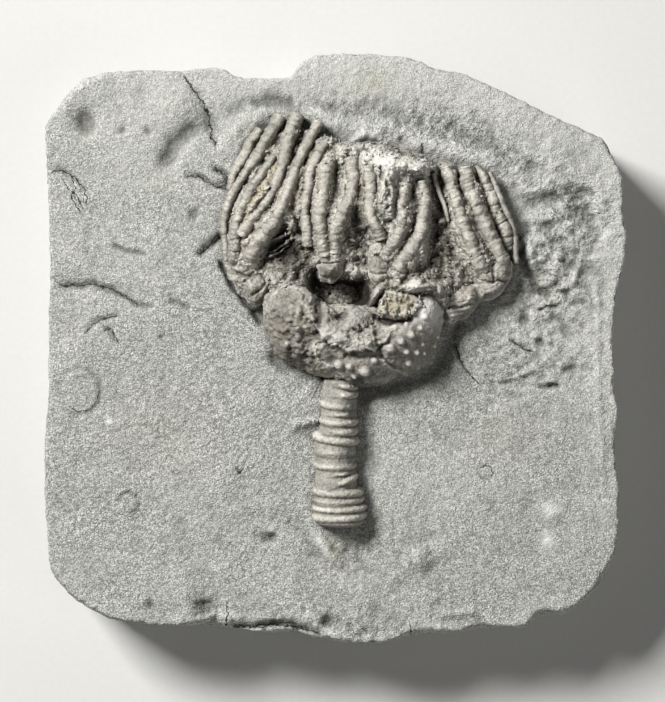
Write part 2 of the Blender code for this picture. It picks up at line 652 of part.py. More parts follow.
def make_arm(name, route, proud, ground):
    """An arm: a row of short plates, narrower at each joint, flat where it lies on the rock."""
    plates = max(3, round(route_length(route) / PLATE_PITCH))
    stations = smooth_route(route, 2 * plates + 1)
    build = bmesh.new()
    sections = []
    for i, place in enumerate(stations):
        before = stations[max(0, i - 1)]
        after = stations[min(len(stations) - 1, i + 1)]
        side = Vector((before.y - after.y, after.x - before.x)).normalized()
        half = free_half_width(place, name)
        joint = 1.0 - (SUTURE_DEPTH if i % 2 == 0 else 0.0)
        end = END_SHARE if i in (0, len(stations) - 1) else 1.0
        half_here = half * joint * end
        edges = [place.xy + side * half_here * s for s in (1.0, -1.0)]
        feet = [ground.highest_near(edge.x, edge.y, REST_REACH) + GAP for edge in edges]
        middle_foot = ground.highest_near(place.x, place.y, REST_REACH) + GAP
        crest = middle_foot + proud * joint * end
        section = []
        for angle in ARM_SECTION:
            reach = math.cos(math.radians(angle))
            rise = math.sin(math.radians(angle))
            at = place.xy - side * half_here * reach
            foot = feet[0] if reach < 0.0 else feet[1]
            if rise < 0.01:
                section.append((at.x, at.y, foot))
            else:
                height = max(foot + ARM_LEAST, middle_foot + (crest - middle_foot) * rise)
                section.append((at.x, at.y, height))
        section.append((place.x, place.y, middle_foot))
        sections.append(ring_of(build, section))
    for upper, lower in zip(sections, sections[1:]):
        join_rings(build, upper, lower)
    build.faces.new(sections[0])
    build.faces.new(sections[-1])
    return add_piece(name, build, CALCITE)


ARM_LINES = {name: smooth_route(route, 60) for name, (_, route) in ARMS.items()}

clear_scene()
laid = Ground()
make_slab(laid)
make_tegmen(laid)
make_cup()
make_stem()
for plate_name, (plate_outline, plate_proud) in FORK_PLATES.items():
    make_fork_plate(plate_name, plate_outline, plate_proud, laid)
for arm_name, (arm_proud, arm_route) in ARMS.items():
    make_arm(arm_name, arm_route, arm_proud, laid)
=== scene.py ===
"""The looks of a fossil crinoid in its siltstone slab: rock faces, plates, arms, stem and finishes.

Sizes and places are in millimetres in the frame's own axes, and become metres when a mesh is made.
"""
import math

import bpy
import numpy as np
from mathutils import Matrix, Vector
from mathutils.bvhtree import BVHTree


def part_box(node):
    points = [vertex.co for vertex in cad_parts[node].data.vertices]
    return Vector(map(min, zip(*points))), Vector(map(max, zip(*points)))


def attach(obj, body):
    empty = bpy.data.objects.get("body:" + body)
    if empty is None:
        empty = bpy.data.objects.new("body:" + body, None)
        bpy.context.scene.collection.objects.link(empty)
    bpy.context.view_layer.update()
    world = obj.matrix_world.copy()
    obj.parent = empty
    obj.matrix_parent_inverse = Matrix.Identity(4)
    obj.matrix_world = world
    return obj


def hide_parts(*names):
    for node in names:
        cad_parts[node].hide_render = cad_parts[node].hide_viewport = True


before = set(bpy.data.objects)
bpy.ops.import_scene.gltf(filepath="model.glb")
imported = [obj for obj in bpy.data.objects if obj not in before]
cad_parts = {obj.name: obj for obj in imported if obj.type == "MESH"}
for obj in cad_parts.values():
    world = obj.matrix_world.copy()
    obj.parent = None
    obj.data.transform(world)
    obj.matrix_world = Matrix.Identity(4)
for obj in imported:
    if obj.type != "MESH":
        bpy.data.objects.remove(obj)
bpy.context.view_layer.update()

MM = 0.001
SLAB_FACE = 15.0  # height of the slab's level face over its underside

# ---------------------------------------------------------------- places on the slab

SLAB_OUTLINE = (
    (-42.4, 32.2), (-41.6, 33.6), (-39.2, 37.0), (-36.9, 39.2), (-34.0, 40.2), (-28.4, 40.5),
    (-22.2, 40.3), (-18.4, 40.9), (-16.2, 40.6), (-14.6, 39.4), (-6.6, 39.3), (-5.8, 40.8),
    (-4.8, 41.9), (-2.8, 42.7), (-0.7, 42.9), (4.4, 42.8), (9.0, 42.5), (11.5, 42.1),
    (14.0, 40.8), (18.4, 40.0), (21.6, 38.6), (26.3, 36.4), (30.5, 34.2), (36.2, 31.7),
    (38.8, 30.6), (39.8, 28.9), (40.5, 26.8), (41.6, 25.3), (41.7, 22.2), (41.4, 20.3),
    (42.4, 17.0), (42.1, 13.5), (40.8, 7.7), (40.1, 1.2), (40.5, -3.6), (40.3, -5.3),
    (41.0, -9.1), (40.4, -13.3), (41.1, -20.2), (41.1, -25.7), (40.7, -29.4), (38.5, -34.3),
    (36.5, -36.4), (33.0, -38.9), (29.2, -39.0), (28.0, -40.6), (24.4, -40.5), (20.0, -41.0),
    (14.9, -41.6), (10.8, -41.9), (6.1, -42.8), (2.8, -42.9), (-2.9, -42.2), (-6.7, -41.3),
    (-9.8, -41.4), (-13.1, -40.9), (-20.4, -40.5), (-26.7, -40.2), (-32.7, -39.4),
    (-35.6, -38.0), (-38.2, -36.4), (-40.4, -34.0), (-41.6, -32.3), (-42.0, -26.8),
    (-42.4, -21.2), (-42.4, -14.5), (-41.8, -5.9), (-41.8, 5.5), (-41.6, 10.7), (-41.8, 20.5),
    (-42.0, 24.9),
)
SLAB_WIDEST = 8.5
EDGE_INSET = 0.3
EDGE_DROP = 0.35

# Where the top edge is broken down further: x, y, reach, extra inset, extra drop.
EDGE_BREAKS = (
    (-6.0, -41.5, 6.0, 0.9, 1.8),
    (-18.5, -40.5, 3.5, 1.6, 2.2),
    (13.0, -41.8, 3.0, 0.9, 1.8),
    (21.0, -40.8, 2.0, 0.8, 1.6),
    (31.0, -39.2, 3.0, 1.2, 2.0),
    (-38.0, 37.0, 6.0, 0.6, 0.5),
    (38.0, -34.0, 5.0, 0.6, 0.7),
    (-38.0, -36.0, 6.0, 0.5, 0.6),
)

# Broad swells and hollows: x, y, reach across, reach along, turn in degrees, height.
SLAB_SWELLS = (
    (-23.5, 35.5, 4.0, 4.5, -35.0, 0.9),
    (-18.5, 33.0, 2.0, 5.0, 25.0, -0.9),
    (-24.0, 29.0, 2.5, 3.5, -35.0, -0.7),
    (-12.5, 35.0, 3.6, 1.6, 20.0, -0.5),
    (-13.5, 32.5, 5.0, 1.6, 50.0, 0.7),
    (12.0, 34.0, 14.0, 5.0, -12.0, 0.7),
    (30.5, 12.0, 3.6, 5.5, 15.0, 1.2),
    (36.0, 16.0, 3.0, 6.0, 10.0, -0.6),
    (30.0, 24.0, 5.0, 4.0, -25.0, 0.6),
    (-36.5, 33.0, 2.2, 2.2, 0.0, -0.8),
    (-37.0, -6.5, 3.0, 3.0, 0.0, 0.35),
    (-30.0, -22.5, 2.4, 2.4, 0.0, 0.3),
    (-34.0, 8.5, 6.0, 1.6, -10.0, -0.5),
    (12.0, -30.0, 1.8, 1.8, 0.0, 0.7),
    (31.0, -23.5, 1.6, 1.8, 0.0, 0.6),
    (-10.0, -27.5, 1.2, 1.0, 0.0, -0.5),
    (-16.0, -18.0, 7.0, 5.0, 20.0, 0.35),
    (20.0, -18.0, 8.0, 6.0, -20.0, 0.35),
    (0.5, -28.5, 4.0, 2.4, 0.0, -0.5),
)

# Cracks that are cut into the slab's face and also drawn on it as hairlines.
TOP_CRACK = ((-21.0, 37.9), (-20.0, 36.8), (-19.1, 35.3), (-18.4, 33.9), (-18.4, 32.4), (-18.1, 30.7),
             (-17.4, 29.5))
LEFT_CRACK = ((-40.0, 9.2), (-36.5, 9.1), (-35.2, 9.5), (-34.2, 8.8), (-32.5, 8.6), (-30.7, 7.6),
              (-28.9, 6.5))
LEFT_BRANCH = ((-36.2, 2.4), (-35.1, 3.6), (-33.8, 4.3), (-31.9, 4.7))
CORNER_CRACK = ((-41.2, 25.6), (-39.7, 25.9), (-37.8, 24.7), (-36.4, 23.0))
SHOULDER_CRACK = ((-21.5, 25.0), (-19.9, 25.0), (-17.7, 23.6))
SHOULDER_BRANCH = ((-17.4, 25.9), (-16.1, 25.3), (-15.4, 24.1))
CUP_CRACK = ((17.3, 0.5), (18.0, -1.7), (19.4, -3.8))

# Small marks of the slab's face as lines: half width, height (negative is cut in), route.
SLAB_LINES = (
    (0.45, -0.25, ((-22.0, 39.2), *TOP_CRACK)),
    (1.1, -0.9, ((-20.9, 31.8), (-23.2, 29.8), (-24.4, 27.5))),
    (1.2, 0.5, ((-10.4, 34.9), (-14.4, 31.7), (-15.9, 28.8))),
    (1.0, -0.8, ((-11.2, 35.4), (-9.2, 36.0), (-6.8, 35.4))),
    (0.3, -0.5, ((-32.0, 14.7), (-30.0, 14.0), (-28.0, 13.8))),
    (0.4, -0.7, (*SHOULDER_CRACK, (-15.7, 23.4))),
    (0.45, -0.8, SHOULDER_BRANCH),
    (0.5, -1.3, ((-19.5, 14.0), (-16.8, 16.1))),
    (0.35, -1.2, ((-16.7, 12.4), (-15.2, 9.3), (-13.3, 6.8), (-12.0, 5.3))),
    (0.4, -0.5, (*LEFT_CRACK, (-27.4, 6.0))),
    (0.35, -0.4, LEFT_BRANCH),
    (0.25, -0.35, ((-33.4, 2.7), (-32.5, 2.8))),
    (0.25, -0.35, ((-33.0, 3.0), (-31.6, 0.9))),
    (0.5, -0.4, ((-23.8, 6.9), (-21.8, 5.9))),
    (0.25, -0.35, ((-14.3, -17.6), (-13.9, -18.1), (-13.5, -17.5))),
    (0.45, -1.4, ((-14.8, -40.1), (-11.3, -40.3), (-9.1, -39.9), (-6.4, -40.1), (-4.2, -40.7),
                  (-2.6, -41.4))),
    (0.5, 0.6, ((15.2, -38.6), (20.0, -38.1))),
    (0.6, -1.0, ((26.4, 13.8), (27.3, 11.8), (29.1, 8.9), (30.6, 7.8))),
    (0.4, 0.8, ((35.1, 12.0), (34.2, 9.4))),
    (0.35, 0.5, ((34.2, 18.0), (35.5, 16.1))),
    (0.3, -0.6, ((32.5, 8.1), (33.7, 8.1))),
    (0.4, 0.8, ((26.9, 15.8), (27.9, 15.2), (28.3, 13.6), (28.7, 12.6), (29.8, 12.9))),
    (0.4, 0.5, ((26.5, -4.2), (28.3, -2.9))),
    (0.3, -0.5, ((29.6, -5.5), (32.3, -5.3))),
    (0.25, 0.3, ((37.8, 9.4), (38.1, 4.0), (38.0, -3.2), (38.4, -12.0), (38.8, -21.0))),
    (0.3, -0.5, ((29.6, 5.6), (31.9, 6.3))),
    (0.3, -0.5, ((34.2, 6.5), (36.0, 6.7))),
    (0.3, -0.45, ((25.5, 1.1), (28.4, -0.4))),
    (0.35, -0.5, ((32.9, -3.1), (34.8, -2.7))),
    (0.3, -0.4, ((23.8, -5.1), (27.5, -4.1))),
    (0.4, -0.6, ((31.3, -5.3), (32.3, -5.5))),
    (1.2, -0.7, ((28.4, 21.0), (32.5, 22.1), (36.0, 22.4))),
    (0.3, -0.5, ((12.5, 29.2), (12.5, 28.1))),
    (0.5, 0.9, ((-5.7, -11.1), (-2.6, -10.4))),
    (0.3, -0.5, CUP_CRACK),
    (0.9, 0.7, ((-2.4, -27.9), (-0.6, -30.2))),
    (0.3, -0.4, CORNER_CRACK),
    (0.9, -1.0, ((-9.0, -1.6), (-6.4, -3.2), (-3.6, -4.4), (-2.8, -6.0))),
    (1.1, -0.7, ((3.9, -7.4), (5.6, -6.6), (8.6, -5.4), (12.2, -4.4), (14.8, -2.6), (16.3, 0.4),
                 (17.4, 3.0))),
)

# Hairline cracks in the slab's face: half width and route.
SLAB_CRACKS = (
    (0.16, ((-22.0, 39.4), *TOP_CRACK)),
    (0.12, LEFT_CRACK),
    (0.12, (*SHOULDER_CRACK, (-15.9, 23.2))),
    (0.14, SHOULDER_BRANCH),
    (0.1, LEFT_BRANCH),
    (0.1, ((-33.6, 2.6), (-32.6, 2.9), (-31.6, 0.9))),
    (0.1, (*CORNER_CRACK, (-36.2, 21.2))),
    (0.08, ((-39.6, 24.6), (-38.9, 23.2), (-37.6, 22.4), (-36.9, 20.6))),
    (0.08, ((-38.4, 24.8), (-37.8, 23.4), (-38.4, 21.8), (-37.2, 19.9))),
    (0.11, ((12.5, 29.6), (12.4, 28.6), (12.6, 27.9))),
    (0.1, (*CUP_CRACK, (20.6, -5.0))),
    (0.14, ((-14.8, -40.3), (-11.3, -40.5), (-9.1, -40.1), (-6.4, -40.3), (-4.2, -40.9),
            (-2.6, -41.4))),
    (0.1, ((25.4, 1.2), (26.9, 0.1), (28.6, -0.5))),
    (0.07, ((-38.4, -8.6), (-37.4, -9.2), (-35.9, -8.9), (-34.7, -7.6), (-34.4, -6.4))),
    (0.07, ((-31.4, -24.0), (-29.8, -24.4), (-28.4, -23.4))),
    (0.08, ((21.0, -17.2), (21.8, -16.9), (22.6, -17.4), (22.6, -18.4))),
    (0.1, ((10.7, -39.6), (10.9, -41.4))),
    (0.1, ((-15.9, -36.9), (-15.7, -38.6), (-16.0, -40.2))),
    (0.08, ((29.5, 5.6), (30.6, 6.2), (32.0, 6.2))),
    (0.08, ((-14.4, -17.4), (-13.9, -18.2), (-13.4, -17.3))),
)

# Ring-shaped shell prints: x, y, radius across, radius along, half width, height.
SHELL_PRINTS = (
    (-37.1, -6.3, 2.4, 2.8, 0.35, 0.35),
    (-37.1, -6.3, 2.9, 3.3, 0.35, -0.3),
    (-30.0, -22.4, 2.0, 2.0, 0.3, 0.3),
    (-30.0, -22.4, 1.5, 1.5, 0.25, -0.4),
    (-30.6, -22.4, 0.7, 0.7, 0.2, -0.3),
    (21.7, -17.9, 1.0, 1.0, 0.2, -0.3),
)

# Small pits and bumps: x, y, radius, height.
SLAB_SPOTS = (
    (-31.0, 31.7, 0.5, -0.6), (-27.3, 31.5, 0.5, -0.6), (-36.1, 32.4, 1.2, -0.7),
    (-36.7, 33.4, 1.2, -0.3), (-20.6, 19.5, 0.8, -0.5), (27.2, 4.1, 0.9, -0.8), (31.0, 18.0, 0.7, -0.5),
    (27.8, 18.0, 0.6, -0.5), (34.7, 21.6, 0.5, -0.8), (33.1, 20.8, 0.4, 0.5), (35.8, 13.2, 0.5, 0.5),
    (32.2, 13.2, 0.6, 0.6), (-32.6, -10.8, 0.6, 0.5),
    (-25.1, 1.8, 0.6, -0.4), (-27.0, -37.2, 0.6, -0.7), (-1.3, -39.7, 0.8, -0.9),
    (-9.3, -27.3, 0.6, -0.8), (-9.3, -26.5, 0.5, 0.4), (29.7, 0.7, 0.4, -0.6),
    (31.3, 0.5, 0.35, -0.5), (28.4, 14.4, 1.5, 0.9), (31.5, 11.3, 1.2, 0.5),
    (35.2, -2.1, 0.4, 0.5), (25.7, -22.7, 0.5, -0.3), (14.9, -40.4, 0.5, 0.6),
    (11.9, -29.7, 1.2, 0.4), (34.6, 21.8, 0.6, 0.5), (-18.5, -38.0, 1.8, -1.0),
    (-11.2, 5.0, 0.9, -1.8), (-10.9, 3.9, 0.6, -1.2), (2.5, 29.8, 0.55, 0.7), (3.4, 30.5, 0.55, 0.8),
    (4.4, 30.9, 0.6, 0.8), (5.4, 30.7, 0.5, 0.8), (6.3, 30.2, 0.55, 0.8), (7.2, 29.5, 0.5, 0.7),
    (9.6, 30.2, 0.6, -0.7), (28.6, 26.6, 1.0, -0.5), (21.6, 31.4, 2.0, -0.4),
)

# ---------------------------------------------------------------- places on the crown

# The even dome of the filling, as swells: x, y, reach across, reach along, turn in degrees, height.
DOME_LUMPS = (
    (5.6, 17.9, 10.9, 10.9, 0.0, 6.0),
    (-9.6, 20.8, 6.5, 8.7, 0.0, 3.0),
    (20.6, 16.5, 5.1, 8.7, 0.0, 2.2),
    (-8.6, 14.7, 2.3, 2.3, 0.0, -2.0),
    (3.5, 15.7, 1.5, 3.6, 0.0, -2.5),
    (1.0, 8.3, 4.1, 1.7, 0.0, -3.4),
    (11.0, 9.6, 4.5, 2.6, 0.0, 2.2),
    (8.0, 26.3, 4.6, 2.2, -8.0, 1.8),
    (7.8, 21.5, 1.5, 3.4, 0.0, 1.2),
    (4.3, 29.6, 4.0, 1.0, 0.0, 0.8),
)
# Where rubble is heaped higher than the even dome, and where it is scooped out.
RUBBLE_LUMPS = (
    (-7.5, 9.0, 3.0, 2.4, 0.0, 2.9),
    (-8.0, 10.4, 2.6, 1.8, 0.0, 0.9),
    (3.2, 11.0, 1.3, 1.3, 0.0, 1.0),
    (5.1, 7.2, 1.0, 1.4, 0.0, 2.2),
    (15.4, 6.8, 1.7, 1.9, 0.0, 3.0),
    (13.0, 8.9, 2.6, 1.0, 0.0, 1.9),
    (7.5, 22.8, 2.5, 5.0, -4.0, 2.7),
    (-12.4, 9.4, 2.2, 2.8, 0.0, -1.3),
    (5.8, 7.9, 1.8, 1.8, 0.0, 2.6),
    (12.2, 8.4, 4.0, 1.8, 0.0, 2.4),
    (17.0, 9.5, 2.5, 2.5, 0.0, 0.9),
    (0.8, 7.9, 2.9, 1.6, 0.0, -4.5),
    (-3.2, 9.2, 0.8, 1.8, 0.0, -1.6),
    (15.0, 18.0, 1.4, 7.0, 0.0, -0.6),
    (7.4, 26.9, 3.8, 1.5, -12.0, 1.9),
    (11.0, 26.1, 2.4, 1.3, -14.0, 2.2),
    (12.8, 26.0, 1.5, 1.4, -14.0, 3.4),
    (-10.0, 23.5, 4.0, 8.0, -28.0, 0.9),
    (0.0, 22.0, 6.0, 5.0, 0.0, 0.5),
    (-1.0, 29.0, 2.4, 1.6, 0.0, 0.2),
    (21.0, 19.0, 3.0, 8.0, 20.0, 0.9),
)
# Lines on the filling: half width, height, route.
TEGMEN_RIDGES = (
    (0.55, 1.2, ((2.1, 30.0), (3.2, 30.9), (4.4, 31.1), (6.0, 30.4), (7.4, 29.3))),
    (0.4, -0.8, ((2.7, 29.4), (4.2, 30.1), (5.6, 29.6))),
    (0.35, 0.8, ((6.3, 21.0), (7.0, 24.6), (8.8, 22.0), (7.6, 20.8))),
    (0.3, -0.7, ((7.4, 20.2), (7.6, 22.6), (8.2, 20.6))),
)
TEGMEN_OUTLINE = (
    (-10.2, 31.0), (-6.5, 32.4), (-2.0, 31.8), (1.3, 30.6), (7.1, 30.6), (12.9, 28.4),
    (18.7, 27.0), (22.0, 25.6), (24.9, 21.5), (26.2, 16.4), (25.7, 10.6), (23.8, 7.4),
    (20.8, 6.0), (19.0, 4.4), (16.9, 3.2), (14.8, 2.6), (13.0, 3.0), (10.0, 2.9), (6.3, 2.9),
    (1.3, 3.6), (-2.6, 4.0), (-5.2, 4.4), (-8.0, 4.6), (-10.4, 5.0), (-13.0, 7.2),
    (-14.9, 9.6), (-16.6, 12.5), (-16.7, 16.4), (-15.8, 21.5), (-13.6, 26.5),
)
TEGMEN_MIDDLE = (5.0, 18.5)
# Thin pale rods in the hollow of the left fan, same kind of table.
TEGMEN_RODS = (
    (0.18, 1.2, ((-8.9, 15.8), (-7.5, 16.3), (-6.8, 16.7))),
    (0.18, 1.1, ((-9.1, 14.2), (-7.6, 15.0), (-6.4, 16.0))),
    (0.16, 0.9, ((-9.5, 13.2), (-8.1, 13.9), (-6.8, 14.9))),
)
TEGMEN_LINES = (
    (0.45, 0.9, ((6.1, 8.1), (5.6, 7.2), (5.3, 6.6))),
    (0.3, -0.9, ((6.4, 26.0), (6.7, 24.2), (7.6, 23.4), (8.4, 23.0))),
    (0.3, -0.9, ((5.9, 19.4), (7.0, 18.2), (8.2, 18.4))),
)
TEGMEN_SPOTS = (
    (3.6, 15.9, 0.9, 1.0), (3.7, 13.5, 0.7, 0.8), (4.0, 17.5, 0.6, 0.8), (6.2, 8.3, 0.6, 1.0),
    (11.0, 9.0, 0.9, 0.8), (14.8, 18.2, 0.7, 0.8), (14.9, 14.8, 0.9, 0.7), (14.4, 12.0, 0.8, 0.6),
    (-6.3, 17.8, 0.7, 0.8), (-7.4, 18.1, 0.5, 0.6), (-10.8, 17.5, 0.6, 0.7), (-11.5, 16.6, 0.5, 0.6),
)

CUP_OUTLINE = (
    (-10.6, 6.4), (-10.6, 4.4), (-9.9, 1.9), (-9.3, -0.4), (-7.4, -1.9), (-4.5, -3.1),
    (-2.3, -4.0), (1.3, -5.2), (3.5, -5.5), (5.2, -5.2), (7.5, -5.2), (8.5, -4.0),
    (11.0, -3.6), (13.5, -2.4), (14.7, -0.2), (15.4, 3.0), (15.5, 4.6), (15.2, 6.4),
    (14.3, 7.9), (12.7, 8.0), (11.2, 6.8), (6.3, 5.9), (4.5, 6.0), (1.8, 6.5), (0.0, 6.2),
    (-1.4, 6.2), (-3.4, 7.8), (-4.6, 8.7), (-6.3, 9.2), (-8.4, 8.9), (-9.8, 8.1),
)
CUP_MIDDLE = (3.0, 2.6)
CUP_HEIGHT = 7.6
CUP_LOW_RIM = 1.2
CUP_HIGH_RIM = 3.8
CUP_SWELLS = (
    (-6.5, 4.6, 2.8, 3.4, 0.0, 1.5),
    (-2.5, 4.4, 0.5, 3.0, -4.0, -0.35),
    (-4.0, 0.4, 0.9, 3.0, -25.0, -0.7),
    (0.8, 1.5, 3.2, 0.9, -22.0, 0.8),
    (0.5, 4.7, 1.2, 0.65, 0.0, -1.3),
    (0.2, 4.95, 0.45, 0.3, 0.0, 0.6),
    (2.6, 4.1, 1.2, 0.9, 0.0, 0.7),
    (10.8, 1.4, 3.2, 3.0, 0.0, 0.9),
    (6.1, 1.6, 0.8, 3.0, -10.0, -0.7),
    (-1.4, -1.2, 0.7, 1.6, 20.0, 0.5),
    (-0.6, -1.6, 0.9, 0.8, -20.0, -0.5),
    (14.1, 6.2, 1.7, 2.1, 0.0, 2.7),
    (3.0, -4.8, 0.9, 0.5, 0.0, -1.2),
)
CUP_LINES = (
    (0.35, -0.4, ((-3.0, 8.0), (-2.6, 6.4), (-2.5, 3.8), (-2.9, 1.8))),
    (0.3, -0.35, ((4.6, 4.4), (5.6, 3.0), (5.7, 1.2), (6.2, -0.6))),
    (0.35, -0.4, ((1.6, -1.0), (3.2, -1.3), (5.6, -1.2))),
    (0.5, -1.8, ((5.7, 4.3), (7.2, 3.8), (9.0, 3.8), (10.5, 4.3))),
    (0.26, 0.6, ((-3.1, 0.6), (-2.8, -0.9), (-2.2, -2.2), (-0.6, -2.6))),
    (0.22, 0.5, ((-7.2, -2.1), (-4.1, -3.4), (-2.0, -3.9))),
    (0.22, -0.5, ((-6.0, -1.9), (-3.6, -2.8), (-1.8, -3.3))),
    (0.22, -0.4, ((2.4, 2.9), (3.0, 2.4), (3.6, 2.6), (3.4, 3.3))),
    (0.25, -0.7, ((6.4, -1.1), (7.6, -2.2), (8.8, -2.9), (10.6, -3.6))),
    (0.25, 0.5, ((6.6, -1.6), (8.0, -2.9), (9.4, -3.4), (11.0, -3.8))),
)
# Plate edges: rise, reach of the raised side, route with that side on its left.
CUP_LEDGES = (
    (1.0, 2.4, ((-2.6, 2.6), (-2.0, 1.4), (-1.2, 1.1), (-0.7, 0.4), (0.4, 0.4), (0.8, -0.3), (1.9, -0.7),
                (2.5, -0.3), (3.5, -0.4), (4.2, 0.0), (5.5, -0.4), (6.2, 0.3))),
    (0.5, 1.4, ((-8.1, -0.2), (-6.3, -0.5), (-4.5, -1.2), (-3.4, -1.0))),
)
CUP_SPOTS = (
    (-4.3, -1.7, 0.4, 0.5), (-5.5, -1.7, 0.4, 0.4), (-5.3, 5.0, 0.5, 0.4), (-4.5, 2.9, 0.4, 0.35),
    (-7.5, 2.3, 0.4, 0.3), (-6.4, 6.2, 0.5, 0.35), (5.2, 2.6, 0.5, 0.5), (5.6, 1.4, 0.4, 0.4),
    (4.8, 0.6, 0.5, 0.4), (5.9, 0.4, 0.35, -0.4), (-0.9, 2.9, 0.5, 0.3),
    (5.3, -4.3, 0.3, 0.45), (6.1, -4.6, 0.3, 0.5), (6.9, -4.4, 0.3, 0.5), (7.2, -4.9, 0.25, 0.4),
)
# Knobs on the plates: x, y, radius, height.
CUP_KNOBS = (
    (7.8, 0.1, 0.68, 0.65), (9.35, 1.0, 0.5, 0.6), (10.8, 1.9, 0.48, 0.6), (12.1, 2.9, 0.36, 0.5),
    (10.1, 3.45, 0.34, 0.4), (8.35, 3.1, 0.55, 0.3), (10.15, -0.5, 0.38, 0.5), (11.6, -0.6, 0.38, 0.5),
    (12.65, -0.7, 0.26, 0.4), (12.4, 0.6, 0.26, 0.4), (13.9, -1.05, 0.25, 0.4), (14.1, 0.3, 0.25, 0.4),
    (14.6, 1.6, 0.24, 0.4), (15.1, 4.1, 0.3, 0.45), (12.8, 4.5, 0.42, 0.45), (10.45, -2.05, 0.42, 0.5),
    (11.6, -2.65, 0.32, 0.5), (13.6, -1.95, 0.28, 0.45), (0.35, -2.3, 0.62, 0.6), (1.95, -2.55, 0.52, 0.55),
    (4.2, -3.3, 0.72, 0.7), (2.65, -4.0, 0.32, 0.45), (5.5, -1.7, 0.48, 0.35), (-7.0, 0.7, 0.32, 0.35),
)
# Plates of the cup that kept their smooth face.
CUP_SMOOTH = (
    (10.8, 0.8, 3.6, 3.4, 0.0, 1.3),
    (13.4, 1.5, 1.6, 4.0, 0.0, 1.0),
    (3.2, -2.6, 4.4, 1.5, -8.0, 1.2),
    (-1.0, -1.2, 1.6, 1.2, -20.0, 0.8),
    (2.6, 4.2, 1.4, 1.2, 0.0, 0.5),
    (1.0, 1.3, 2.4, 0.6, -22.0, 0.6),
    (13.2, 6.2, 1.3, 1.6, 0.0, 0.35),
)
# Where the cup's face is most battered.
CUP_BATTERED = (
    (-7.5, 4.0, 3.5, 3.5, 0.0, 0.8),
    (-2.4, 5.0, 0.8, 3.0, 0.0, 0.8),
    (-4.0, -1.0, 4.0, 1.6, -20.0, 1.0),
    (5.6, 1.5, 1.0, 2.4, 0.0, 1.0),
    (3.0, 5.8, 3.0, 1.0, 0.0, 0.6),
)
# Tints of the cup, as the same kind of table.
CUP_STAINS = (
    (-8.0, 2.2, 1.4, 2.2, 10.0, 0.4),
    (-5.2, 3.6, 1.2, 1.8, 0.0, 0.5),
    (-2.0, -3.2, 2.0, 0.8, -20.0, 0.4),
)
CUP_LIGHT = (
    (1.2, 1.2, 3.2, 1.0, -24.0, 0.35),
    (13.7, 6.1, 1.9, 2.2, 0.0, 2.4),
    (2.6, 4.2, 1.1, 0.9, 0.0, 0.3),
    (6.4, -4.6, 1.3, 0.5, 0.0, 0.4),
)
# Darker places on the cup: the plates' own darker grey, and painted shade in the crevice under the porous
# lump, in the pit, under the ledge and in the recess over the stem.
CUP_DARK = (
    (11.0, 0.2, 4.6, 3.0, 0.0, 0.75),
    (4.6, -3.0, 4.6, 2.4, -10.0, 0.6),
    (-7.4, 3.6, 3.8, 5.6, 0.0, 0.9),
    (-4.0, 7.6, 2.4, 1.4, 0.0, 0.3),
    (2.6, 3.4, 3.4, 2.6, 0.0, 0.5),
    (-1.6, 4.6, 0.8, 2.4, 0.0, 0.8),
    (-5.6, -1.4, 4.0, 1.4, -20.0, 0.9),
    (8.0, 3.9, 2.6, 0.6, 0.0, 1.2),
    (-2.6, 4.4, 0.6, 3.0, -4.0, 0.6),
    (0.5, 4.6, 1.1, 0.6, 0.0, 0.6),
    (3.4, -1.2, 3.0, 0.5, 0.0, 0.6),
    (-0.4, -1.2, 1.4, 0.7, -20.0, 0.4),
    (3.0, -4.8, 0.9, 0.6, 0.0, 1.2),
    (5.9, 1.5, 0.9, 1.8, 0.0, 0.3),
)
# Crumbly pale fringes along plate edges: half width, strength, route.
CUP_FRINGES = (
    (0.3, 0.9, ((-2.5, 2.3), (-1.6, 1.5), (-0.7, 0.6), (0.5, 0.4), (1.1, -0.1), (1.9, -0.5), (3.4, -0.2),
                (5.4, -0.2), (6.2, 0.5))),
    (0.26, 0.8, ((-3.1, 0.6), (-2.8, -0.9), (-2.2, -2.2), (-1.2, -2.5))),
    (0.26, 0.8, ((6.9, -1.9), (8.4, -3.0), (9.8, -3.5), (11.0, -3.8))),
    (0.24, 0.8, ((-7.2, -2.1), (-5.6, -2.9), (-4.1, -3.4))),
    (0.26, 0.8, ((-4.7, -1.4), (-4.0, -2.1))),
    (0.24, 0.6, ((-9.2, 7.9), (-7.0, 8.8), (-4.6, 8.3))),
)

